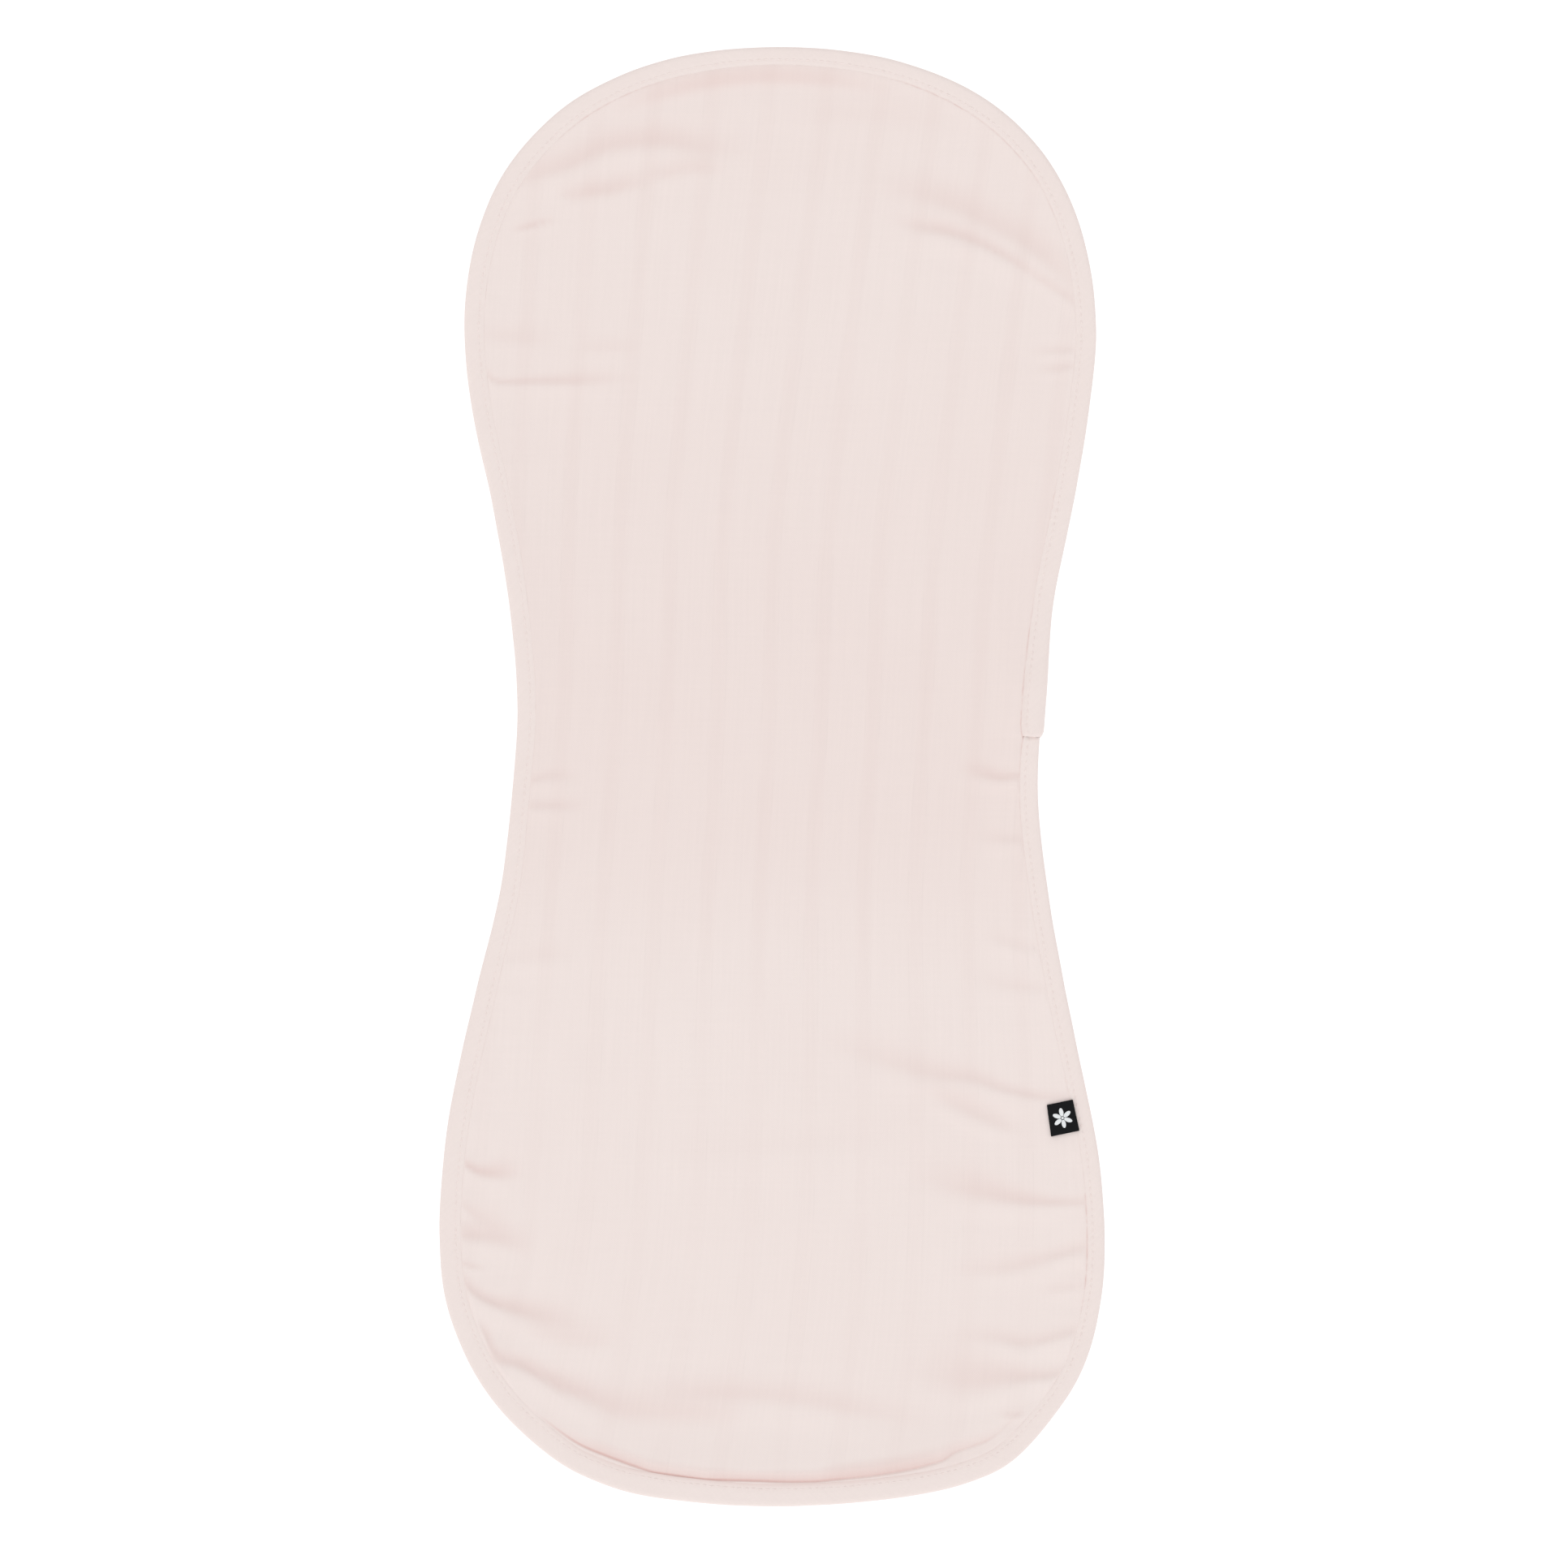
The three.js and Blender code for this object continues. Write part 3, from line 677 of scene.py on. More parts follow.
def tuck_shape(tuck, x, y):
    """How far one tuck lifts the cloth at each point, and how much painted shade it puts there."""
    height, deep = np.zeros_like(x), np.zeros_like(x)
    reach = tuck.steep * max(tuck.wide, 1) * TUCK_REACH + tuck.soft
    line = smooth_line(tuck.line, TUCK_BEND_STEPS)
    low, high = line.min(0) - reach, line.max(0) + reach
    near = (x > low[0]) & (x < high[0]) & (y > low[1]) & (y < high[1])
    if not near.any():
        return height, deep
    px, py = x[near], y[near]
    best = np.full(px.shape, np.inf)
    side = np.zeros(px.shape)
    share = np.zeros(px.shape)
    long = np.linalg.norm(np.diff(line, axis=0), axis=1)
    done = 0.0
    for (ax, ay), (bx, by), step in zip(line, line[1:], long):
        dx, dy = (bx - ax) / step, (by - ay) / step
        along = np.clip((px - ax) * dx + (py - ay) * dy, 0, step)
        qx, qy = px - ax - dx * along, py - ay - dy * along
        away = np.hypot(qx, qy)
        closer = away < best
        upward = math.copysign(1, dx)
        best = np.where(closer, away, best)
        side = np.where(closer, np.sign(qy * dx - qx * dy) * upward * away, side)
        share = np.where(closer, (done + along) / long.sum(), share)
        done += step
    steep = tuck.steep * (1 + (tuck.wide - 1) * ease(*TUCK_WIDENS, share))
    rise = 0.5 + 0.5 * np.tanh(-(side + TUCK_LEAN * steep) / (TUCK_SHARP * steep))
    dip = TUCK_DIP * bell(side - TUCK_DIP_AT * steep, TUCK_DIP_WIDE * steep)
    fall = 1 - ease(steep, steep + tuck.soft, -side)
    inner = 1 - ease(TUCK_FADES[tuck.ends], 1, share)
    if tuck.ends == 2:
        outer = ease(0, TUCK_SOFT_END, share)
    else:
        outer = TUCK_SEAM_SHARE + (1 - TUCK_SEAM_SHARE) * ease(0, TUCK_FIRM_END, share)
    beyond = 1 - ease(TUCK_WHOLE * reach, reach, best)
    height[near] = tuck.high * (rise * fall - dip) * inner * outer * beyond
    # Painted shade along the tuck's foot, spreading further below it than above.
    spread = np.where(side > 0, TUCK_SHADE_BELOW * steep, TUCK_SHADE_ABOVE * steep)
    deep[near] = tuck.deep * bell(side, spread) * inner**TUCK_SHADE_LASTS * outer * beyond
    return height, deep


def tucks_at(x, y):
    """How far all the tucks lift the cloth at each point, and how much painted shade they put there."""
    lifted, sunk, pale = np.zeros_like(x), np.zeros_like(x), np.ones_like(x)
    for tuck in TUCKS:
        height, deep = tuck_shape(tuck, x, y)
        lifted += np.maximum(height, 0) ** TUCK_APART
        sunk += np.minimum(height, 0)
        pale *= 1 - deep
    away = np.hypot(x - LABEL_MIDDLE[0], y - LABEL_MIDDLE[1])
    shown = ease(*(LABEL_WIDE * share for share in LABEL_CALM), away)
    return (lifted ** (1 / TUCK_APART) + sunk) * shown, 1 - pale


def noise_at(points, seed):
    """Smooth noise from -1 to 1 at each point."""
    flat = points.reshape(-1, points.shape[-1])
    values = [noise.noise(Vector((p[0], p[1], seed))) for p in flat]
    return np.array(values).reshape(points.shape[:-1])


def noise_along(run, long, seed):
    """Smooth noise from -1 to 1 along the edge, in waves of about so long."""
    return noise_at(np.stack([run / long, run * 0], axis=-1), seed)


def paired_runs(count):
    """Stations down the right side and up the left, in pairs across the cloth."""
    shares = np.arange(count // 2) / (count // 2)
    return np.concatenate([shares * TURN, AROUND - (1 - shares) * (AROUND - TURN)])


LABEL_RUN = run_on_right(LABEL_Y)
LABEL_PLACE, LABEL_INWARD = on_edge(np.array(LABEL_RUN))
LABEL_NEAR = strip_width(np.array(LABEL_RUN)) - LABEL_LAP
LABEL_MIDDLE = LABEL_PLACE + LABEL_INWARD * (LABEL_NEAR + LABEL_WIDE / 2)


def mesh_piece(name, points, faces, material, uv=None, painted_shade=None):
    """A smooth mesh object from points in millimetres, with an optional flat-cloth map in metres and
    how much painted shade darkens each point's colour."""
    mesh = bpy.data.meshes.new(name)
    mesh.from_pydata((points * MM).tolist(), [], faces)
    mesh.polygons.foreach_set("use_smooth", [True] * len(mesh.polygons))
    if uv is not None:
        corner = np.zeros(len(mesh.loops), int)
        mesh.loops.foreach_get("vertex_index", corner)
        layer = mesh.uv_layers.new(name="cloth")
        layer.data.foreach_set("uv", (uv[corner] * MM).astype(np.float32).ravel())
    # The painted shade is stored on the points as an attribute that the material reads.
    if painted_shade is not None:
        layer = mesh.attributes.new("painted_shade", "FLOAT", "POINT")
        layer.data.foreach_set("value", painted_shade.astype(np.float32))
    mesh.materials.append(material)
    mesh.validate()
    piece = bpy.data.objects.new(name, mesh)
    bpy.context.scene.collection.objects.link(piece)
    return piece


def ring_faces(rings, count, flip=False):
    """Quads between neighbouring rings of points that close on themselves."""
    here = np.arange(count)
    after = (here + 1) % count
    faces = []
    for r in range(rings - 1):
        a, b = r * count + here, r * count + after
        quads = np.stack([a, a + count, b + count, b], axis=1)
        faces += (quads[:, ::-1] if flip else quads).tolist()
    return faces


def panel_rings(run):
    """What the panel's rings start from: place, inward way, strip's width, band's far side, middle line."""
    place, inward = on_edge(run)
    width = strip_width(run) + GAP * wrapped(run)
    far = place + inward * SEAM_BAND
    across = far[(-np.arange(len(run))) % len(run)]
    level = np.clip((far + across)[:, 1] / 2, SPINE_BOTTOM, SPINE_TOP)
    spine = np.stack([np.zeros(len(run)), level], axis=1)
    return place, inward, width, far, spine


def seam_shade_line(run):
    """How deep the painted shade is beside the strip: a thin line, broken up between the stitches."""
    broken = np.full(run.shape, LINE_EVEN)
    for long, amount, seed in (LINE_FINE, LINE_SLOW):
        broken += amount * noise_along(run, long, seed)
    return by_share(SEAM_SHADE_LINE, 1, run) * np.clip(broken, *LINE_LIMITS)


def panel_top(run):
    """Rings of points over the panel's upper face, from the middle line out to the pressed edge, and how
    much painted shade darkens the colour at each."""
    place, inward, width, far, spine = panel_rings(run)
    swell, lead, crease, shade, reach = (by_share(SWELLS, column, run) for column in range(1, 6))
    plan, distance = [], []
    steps = [np.full(run.shape, STRIP_OUT)]
    steps += [width + past for past in SEAM_RINGS]
    start = steps[-1]
    steps += [start + (SEAM_BAND - start) * share for share in np.arange(1, BAND_RINGS + 1) / BAND_RINGS]
    for d in steps:
        plan.append(place + inward * d[:, None])
        distance.append(d)
    gap = np.linalg.norm(spine - far, axis=1)
    for share in np.arange(1, MIDDLE_RINGS + 1) / MIDDLE_RINGS:
        plan.append(far + (spine - far) * share)
        distance.append(SEAM_BAND + gap * share)
    plan, distance = np.array(plan), np.array(distance)
    past = distance - width
    lifted, deep = tucks_at(plan[..., 0], plan[..., 1])
    face = np.interp(past, *zip(*SEAM_FACE)) + JOIN_LIFT * doubled(run) * (1 - ease(*LIFT_DIES, past))
    face += JOIN_HEAP * wrapped(run) * ease(*HEAP_GROWS, past) * (1 - ease(*HEAP_DIES, past))
    behind = past - lead
    swollen = SWELL_HIGH * ease(0, SWELL_RISE, behind)
    swollen *= bell(np.maximum(behind - SWELL_RISE, 0), SWELL_WIDE)
    swollen -= CREASE_DEEP * bell(behind, CREASE_WIDE)
    slack = SLACK_HIGH * ease(*SLACK_GROWS, past) * noise_at(plan / SLACK_LONG, SLACK_SEED)
    height = face + swell * swollen * ease(-0.2, 0.2, past) + lifted * ease(*TUCKS_GROW, past) + slack
    height += seam_puckers(run, past)
    # Painted shade, darker and redder: in the crease, behind it, at the strip's lip and beside the strip.
    creased = crease * bell(behind, CREASE_WIDE)
    line = creased + SHADE_AT_LIP * shade * ease(-0.5, 0.2, past) * (1 - ease(0, 1, behind))
    line += shade * ease(0, 0.3, behind) * np.clip(1 - behind / reach, 0, 1)
    beside = seam_shade_line(run) * bell(past, SEAM_LINE_WIDE)
    deep = 1 - (1 - deep * ease(-0.5, 0.5, past)) * (1 - np.minimum(line, 1)) * (1 - beside)
    deep += CREASE_PAINTED_SHADE * creased
    return np.dstack([plan, height])[::-1], deep[::-1]


def seam_puckers(run, past):
    """The small puckers beside the stitches, dying out into the panel."""
    along = np.stack([np.broadcast_to(run, past.shape) / PUCKER_LONG, past / (3 * PUCKER_LONG)], axis=-1)
    near = past < 4 * PUCKER_REACH
    wave = np.zeros(past.shape)
    wave[near] = noise_at(along[near], PUCKER_SEED)
    fade = np.exp(-np.maximum(past, 0) / PUCKER_REACH) * ease(-0.5, 2.5, past)
    return PUCKER_HIGH * by_share(PUCKERS, 1, run) * wave * fade


def panel_under(run):
    """Rings of points over the panel's under face, from its pressed edge to the middle line."""
    place, inward, width, far, spine = panel_rings(run)
    edge_z = middle_height(run) - CORE
    gap = np.linalg.norm(spine - far, axis=1)
    plan, distance = [], []
    for d in [STRIP_OUT] + [width + step for step in UNDER_STEPS]:
        plan.append(place + inward * np.broadcast_to(d, run.shape)[:, None])
        distance.append(np.broadcast_to(d, run.shape))
    for share in np.arange(UNDER_RINGS + 1) / UNDER_RINGS:
        plan.append(far + (spine - far) * share)
        distance.append(SEAM_BAND + gap * share)
    plan, distance = np.array(plan), np.array(distance)
    rise = ease(UNDER_START, UNDER_START + UNDER_FALL, distance - width)
    lifted = np.maximum(tucks_at(plan[..., 0], plan[..., 1])[0], 0)
    return np.dstack([plan, edge_z + (lifted - edge_z) * rise])


def cloth_map(points):
    """Where each point of the panel lies in the flat cloth, its warp straight and evenly spaced."""
    heights, *columns = np.array(sorted(WARP), float).T
    near = bell(WARP_LEVELS[:, None] - WARP_LEVELS, WARP_BEND)
    near /= near.sum(axis=1)[:, None]
    y = points[:, 1]
    smoothed = [near @ np.interp(WARP_LEVELS, heights, column) for column in columns]
    middle, left, right = (np.interp(y, WARP_LEVELS, values) for values in smoothed)
    across = points[:, 0] - middle
    return np.column_stack([across / np.where(across < 0, left, right) * WARP_PITCH, y])


def laid_panel(material):
    """The hourglass panel: one closed thin cloth with its tucks, puckers and swollen bottom end."""
    run = paired_runs(PANEL_STATIONS)
    top, deep = panel_top(run)
    under = panel_under(run)
    place, inward = on_edge(run)
    rim = place + inward * (STRIP_OUT - CORE)
    rim = np.column_stack([rim, middle_height(run)])[None]
    rings = np.vstack([top, rim, under])
    points = rings.reshape(-1, 3)
    painted_shade = np.zeros(len(points))
    painted_shade[: deep.size] = deep.ravel()
    piece = mesh_piece(
        "muslin_panel", points, ring_faces(len(rings), len(run)), material, cloth_map(points), painted_shade
    )
    weld(piece)
    return piece


def weld(piece, distance=1e-6):
    """Merges the points that coincide along the middle line and turns the faces outwards."""
    bpy.ops.object.select_all(action="DESELECT")
    bpy.context.view_layer.objects.active = piece
    piece.select_set(True)
    bpy.ops.object.mode_set(mode="EDIT")
    bpy.ops.mesh.select_all(action="SELECT")
    bpy.ops.mesh.remove_doubles(threshold=distance)
    bpy.ops.mesh.dissolve_degenerate(threshold=distance)
    bpy.ops.mesh.normals_make_consistent(inside=False)
    bpy.ops.object.mode_set(mode="OBJECT")
    piece.select_set(False)


def strip_rows(run, grown, lip):
    """One row of section points for each length run: place in plan, height, and the way across."""
    place, inward = on_edge(run)
    middle = middle_height(run)
    width = strip_width(run) + grown * GAP
    centre = (STRIP_IN + STRIP_OUT) / 2 + grown * JOIN_LIFT
    half = np.full(run.shape, STRIP_THICK / 2) - lip
    pinch = half / (STRIP_THICK / 2)
    over = PINCH_OVER + (WRAP_OVER - PINCH_OVER) * grown
    under = PINCH_UNDER + (WRAP_UNDER - PINCH_UNDER) * grown
    thinned, dropped = pinch * (over + under) / 2, (over - under) / 2
    over, under = thinned + dropped, thinned - dropped
    tip_half = half - (over + under) / 2
    tip_centre = centre + (under - over) / 2
    tip = width - tip_half
    loop = []
    # The upper leg's outer face from its turned-in edge to the fold, then round the fold.
    shares = 1 - np.linspace(0, 1, STRIP_LEG_POINTS) ** STRIP_LEG_CROWD
    angles = np.radians(np.linspace(90, -90, STRIP_FOLD_POINTS))[1:-1]
    fold_out = np.cos(angles) ** FOLD_SQUARE
    fold_up = np.sign(np.sin(angles)) * np.abs(np.sin(angles)) ** FOLD_SQUARE
    tips = np.radians(np.linspace(0, 180, STRIP_TIP_POINTS + 2))[1:-1]
    for face in (1, -1):
        radius = centre + face * half
        thinner = -over if face == 1 else under
        leg_up = []
        for share in shares:
            pinched = 1 - ease(0, PINCH_LONG, (tip - STRIP_OUT) * (1 - share))
            leg_up.append((STRIP_OUT + (tip - STRIP_OUT) * share, radius + thinner * pinched))
        fold = [(STRIP_OUT - radius * out, radius * up) for out, up in zip(fold_out, fold_up)]
        leg_down = [(d, -z) for d, z in leg_up[::-1]]
        path = leg_up + fold + leg_down
        caps = [(tip + tip_half * np.sin(a), -tip_centre - tip_half * np.cos(a)) for a in tips]
        loop += path + caps if face == 1 else path[::-1]
    loop += [(tip + tip_half * np.sin(a), tip_centre - tip_half * np.cos(a)) for a in tips]
    distance = np.array([np.broadcast_to(d, run.shape) for d, _ in loop])
    above = np.array([np.broadcast_to(z, run.shape) for _, z in loop])
    outer = np.zeros(len(loop))
    faced = 2 * STRIP_LEG_POINTS + len(angles)
    outer[:faced] = 1
    painted_shade = strip_painted_shade(run, distance, above, outer, width)
    distance, above = strip_relief(run, distance, above, outer, width)
    plan = place + inward * distance[..., None]
    points = np.dstack([plan, np.maximum(middle + above, 0)])
    steps = np.linalg.norm(np.diff(np.stack([distance, above], axis=-1), axis=0), axis=-1)
    way = np.vstack([np.zeros(run.shape), np.cumsum(steps, axis=0)])
    return points, way, painted_shade


def past_piecing(run, distance):
    """How far each point lies past the seam that pieces the strip together."""
    return np.broadcast_to(run, distance.shape) - PIECING_RUN - PIECING_SLANT * distance


def strip_painted_shade(run, distance, above, outer, width):
    """How much painted shade darkens the strip's colour: beside the panel, at its piecing, at its end and
    at its fold.
    """
    faced = outer[:, None] * (above > 0)
    crease = by_share(SWELLS, 3, run) * np.exp(-by_share(SWELLS, 2, run))
    line = STRIP_LINE_SHARE * seam_shade_line(run) + STRIP_CREASE_SHARE * crease
    shade = STRIP_SHADE_SHARE * by_share(SWELLS, 4, run)
    beside = line * bell(distance - width, SEAM_LINE_WIDE)
    beside += shade * bell(distance - width, STRIP_SHADE_WIDE)
    pieced = PIECING_SHADE * bell(past_piecing(run, distance), PIECING_SHADE_WIDE)
    pieced *= ease(-2, 2, distance)
    ended = END_SHADE * bell(run - JOIN_RUN, END_SHADE_WIDE) * ease(0, 1.5, distance)
    ended *= 1 - END_PALER * ease(*END_PALES, distance)
    rim = FOLD_DEEP * bell(distance, FOLD_DEEP_WIDE)
    return faced * np.clip(beside + pieced + ended + rim, 0, STRIP_DEEPEST)


def strip_relief(run, distance, above, outer, width):
    """Presses the stitch line into the strip, puffs it between the stitches and puckers its fold."""
    seam = width - SEAM_IN
    side = np.sign(above)
    furrow = bell(distance - seam, FURROW_WIDE)
    along = np.broadcast_to(run, distance.shape)
    pinch = 0.5 + 0.5 * np.cos(2 * math.pi * along / STITCH_PITCH)
    wave = noise_along(run, PUFF_LONG, PUFF_SEED)
    fine = noise_along(run, FINE_LONG, FINE_SEED)
    on_leg = ease(STRIP_OUT - 0.5, STRIP_OUT + 1.0, distance)
    depth = furrow * (FURROW_DEEP + FURROW_STITCH * pinch)
    depth = depth - PUFF_HIGH * wave * on_leg - FINE_HIGH * fine * on_leg
    depth -= LIP_PUFF * bell(distance - width + LIP_PUFF_IN, LIP_PUFF_WIDE) * (1 - pinch)
    bowed = FOLD_BOW * noise_along(run, FOLD_BOW_LONG, FOLD_BOW_SEED)
    pieced = past_piecing(run, distance)
    ridge = PIECING_RIDGE * ease(*RIDGE_GROWS, pieced) * (1 - ease(*RIDGE_DIES, pieced))
    depth += PIECING_DEEP * bell(pieced, PIECING_WIDE) - ridge
    corner = JOIN_CORNER * np.clip(1 - (JOIN_RUN + AROUND - run) / JOIN_CORNER_LONG, 0, 1) ** 2
    shift = (bowed - FOLD_OUT) * outer[:, None] + corner * (0.25 + 0.75 * outer[:, None])
    return distance + shift * (1 - on_leg), above - side * outer[:, None] * depth


def bound_edge(material):
    """The strip folded over the panel's raw edge, from its covered end to the end that wraps over it."""
    start, end = JOIN_RUN - JOIN_COVER, JOIN_RUN + AROUND
    close = np.linspace(-PIECING_REACH, PIECING_REACH, PIECING_STATIONS)
    run = np.sort(np.concatenate([np.linspace(start, end, STRIP_STATIONS), AROUND + PIECING_RUN + close]))
    wraps = np.where(run > end - JOIN_COVER - JOIN_EASE, doubled(run - AROUND), 0.0)
    # The last rows round the finishing end over, where its raw edge is turned in.
    turn_in = STRIP_THICK / 2
    angles = np.linspace(0, math.pi / 2, 5)[1:]
    run = np.concatenate([run[:-1], end - turn_in * (1 - np.sin(angles))])
    grown = np.concatenate([wraps[:-1], np.ones(len(angles))])
    lip = np.concatenate([np.zeros(len(run) - len(angles)), turn_in * 0.9 * (1 - np.cos(angles))])
    order = np.argsort(run)
    run, grown, lip = run[order], grown[order], lip[order]
    points, way, painted_shade = strip_rows(run, grown, lip)
    ring = points.shape[0]
    rows = points.transpose(1, 0, 2)
    flat = rows.reshape(-1, 3)
    faces = ring_faces(len(run), ring, flip=True)
    faces.append(list(range(ring)))
    faces.append(list(range((len(run) - 1) * ring, len(run) * ring))[::-1])
    across = way.T.reshape(-1)
    length = np.repeat(run, ring)
    bias = math.sqrt(0.5)
    uv = np.column_stack([(length + across) * bias, (length - across) * bias])
    return mesh_piece("edge_strip", flat, faces, material, uv, painted_shade.T.reshape(-1))


def one_stitch():
    """One stitch of the topstitching: a short plump thread whose ends dip into the cloth."""
    bpy.ops.object.select_all(action="DESELECT")
    bpy.ops.mesh.primitive_uv_sphere_add(segments=8, ring_count=6, radius=0.5)
    stitch = bpy.context.object
    bpy.ops.object.mode_set(mode="EDIT")
    bpy.ops.mesh.select_all(action="SELECT")
    bpy.ops.transform.rotate(value=math.pi / 2, orient_axis="Y", center_override=(0, 0, 0))
    bpy.ops.transform.resize(value=(STITCH_LONG, STITCH_THICK, STITCH_THICK))
    bpy.ops.object.mode_set(mode="OBJECT")
    corners = np.array([v.co for v in stitch.data.vertices], float)
    faces = [list(p.vertices) for p in stitch.data.polygons]
    bpy.data.objects.remove(stitch)
    return corners, faces


def topstitching(material):
    """The stitches along the strip, over and under, joined in one piece."""
    corners, faces = one_stitch()
    count = round(AROUND / STITCH_PITCH)
    run = JOIN_RUN - STITCH_PITCH / 2 - np.arange(count) * AROUND / count
    wraps = wrapped(run)
    seam = strip_width(run) + wraps * GAP - SEAM_IN
    place, inward = on_edge(run)
    ahead = np.stack([-inward[:, 1], inward[:, 0]], axis=1)
    rng = np.random.default_rng(STITCH_SEED)
    points, quads = [], []
    for side in (1, -1):
        slant = rng.normal(0, STITCH_SLANT, count)
        drift = rng.normal(0, STITCH_DRIFT, count)
        stretch = rng.normal(1, STITCH_STRETCH, count)
        above = side * (STRIP_OUT + wraps * JOIN_LIFT - THREAD_SINK)
        for i in range(count):
            long = corners[:, 0] * stretch[i]
            wide = corners[:, 1] + long * slant[i] + drift[i]
            plan = place[i] + inward[i] * (seam[i] + wide)[:, None] + ahead[i] * long[:, None]
            dip = side * STITCH_DIP * (2 * long / STITCH_LONG) ** 2
            height = middle_height(run[i]) + above[i] + corners[:, 2] - dip
            quads += [[v + len(points) * len(corners) for v in face] for face in faces]
            points.append(np.column_stack([plan, np.maximum(height, 0)]))
    return mesh_piece("topstitching", np.vstack(points), quads, material)


def ribbon_label(material):
    """The label: a ribbon folded in two, its fold towards the cloth's middle."""
    bend = RIBBON_THICK + RIBBON_GAP / 2
    straight = np.linspace(0, LABEL_WIDE - bend, LABEL_STATIONS)
    turn = np.radians(np.linspace(90, -90, LABEL_TURN_POINTS))[1:-1]
    radius = (RIBBON_THICK + RIBBON_GAP) / 2
    path = [(d, radius, 1) for d in straight]
    path += [(LABEL_WIDE - bend + radius * np.cos(a), radius * np.sin(a), math.sin(a)) for a in turn]
    path += [(d, -radius, -1) for d in straight[::-1]]
    path = np.array(path)
    down = np.linspace(-0.5, 0.5, LABEL_COLUMNS)
    along = np.array([-LABEL_INWARD[1], LABEL_INWARD[0]])
    rows = []
    for across, high, layer in path:
        slip = RIBBON_SLIP * layer / 2
        flared = across * (1 + LABEL_FLARE * 2 * down)
        spot = LABEL_PLACE + LABEL_INWARD * (LABEL_NEAR + flared)[:, None]
        line = spot + along * (down * LABEL_HIGH + slip)[:, None]
        curl = LABEL_CURL * (2 * down) ** 2 * (across / LABEL_WIDE) * (layer > 0)
        rows.append(np.column_stack([line, label_rest(across) + high + curl]))
    rows = np.array(rows)
    count = len(down)
    faces = []
    for r in range(len(rows) - 1):
        for c in range(count - 1):
            a = r * count + c
            faces.append([a, a + 1, a + count + 1, a + count])
    length = np.concatenate([[0], np.cumsum(np.linalg.norm(np.diff(path[:, :2], axis=0), axis=1))])
    uv = np.column_stack([np.repeat(length, count), np.tile(down * LABEL_HIGH, len(rows))])
    piece = mesh_piece("ribbon_label", rows.reshape(-1, 3), faces, material, uv)
    solid = piece.modifiers.new("ribbon thickness", "SOLIDIFY")
    solid.thickness = RIBBON_THICK * MM
    solid.offset = 0
    soften = piece.modifiers.new("pressed edges", "BEVEL")
    soften.width = LABEL_BEVEL * MM
    soften.segments = 2
    soften.limit_method = "ANGLE"
    bpy.ops.object.select_all(action="DESELECT")
    bpy.context.view_layer.objects.active = piece
    for step in list(piece.modifiers):
        bpy.ops.object.modifier_apply(modifier=step.name)
    return piece


def label_rest(across):
    """The height of the middle between the label's two layers, at a distance from its seam end."""
    face = np.interp(max(across, LABEL_CLEAR), *zip(*SEAM_FACE))
    return face + RIBBON_GAP / 2 + RIBBON_THICK + RIBBON_CLEAR


def sewn_flower(material):
    """A plain six-petalled flower in satin stitch on the label."""
    petals = []
    lifted = RIBBON_GAP / 2 + RIBBON_THICK
    facing = math.atan2(LABEL_INWARD[1], LABEL_INWARD[0])
    shapes = [((k + 0.5) * 2 * math.pi / PETALS, PETAL_OUT, PETAL_SIZE) for k in range(PETALS)]
    shapes.append((0, 0, FLOWER_EYE))
    for turn, out, size in shapes:
        bpy.ops.object.select_all(action="DESELECT")
        bpy.ops.mesh.primitive_uv_sphere_add(segments=20, ring_count=10, radius=0.5)
        petal = bpy.context.object
        bpy.ops.object.mode_set(mode="EDIT")
        bpy.ops.mesh.select_all(action="SELECT")
        bpy.ops.transform.resize(value=[s * MM for s in size])
        bpy.ops.transform.translate(value=(out * MM, 0, 0))
        bpy.ops.object.mode_set(mode="OBJECT")
        angle = facing + turn
        c, s = math.cos(angle), math.sin(angle)
        for vertex in petal.data.vertices:
            x, y, z = vertex.co / MM
            plan = LABEL_MIDDLE + np.array([c * x - s * y, s * x + c * y])
            top = label_rest((plan - LABEL_PLACE) @ LABEL_INWARD - LABEL_NEAR) + lifted
            vertex.co = [value * MM for value in (*plan, z + top)]
        petals.append(petal)
    bpy.ops.object.select_all(action="DESELECT")
    for petal in petals:
        petal.select_set(True)
    bpy.context.view_layer.objects.active = petals[0]
    bpy.ops.object.join()
    flower = petals[0]
    flower.name = flower.data.name = "sewn_flower"
    flower.data.materials.clear()
    flower.data.materials.append(material)
    bpy.ops.object.shade_smooth()
    return flower


def add_node(tree, kind, inputs=(), **settings):
    """A shader node with its settings, and its inputs set to values or joined to other sockets."""
    node = tree.nodes.new(kind)
    for name, value in settings.items():
        setattr(node, name, value)
    for key, value in dict(inputs).items():
        if isinstance(value, bpy.types.NodeSocket):
            tree.links.new(value, node.inputs[key])
        else:
            node.inputs[key].default_value = value
    return node


def calc(tree, operation, a, b=0.0, c=0.0):
    """The result of one sum on two or three numbers or sockets."""
    return add_node(tree, "ShaderNodeMath", {0: a, 1: b, 2: c}, operation=operation).outputs[0]


def vector_calc(tree, operation, a, b):
    """The result of one sum on two vectors, or of a vector scaled by a number."""
    second = "Scale" if operation == "SCALE" else 1
    return add_node(tree, "ShaderNodeVectorMath", {0: a, second: b}, operation=operation).outputs[0]


def cloudy(tree, place, scale, detail, output="Fac"):
    """Smooth random clouds, with so many to the metre."""
    inputs = {"Vector": place, "Scale": scale, "Detail": detail}
    return add_node(tree, "ShaderNodeTexNoise", inputs).outputs[output]


def smooth_range(tree, value, low, high):
    """0 at low, 1 at high, and a smooth change between them."""
    return add_node(
        tree,
        "ShaderNodeMapRange",
        {"Value": value, "From Min": low, "From Max": high},
        interpolation_type="SMOOTHSTEP",
    ).outputs[0]


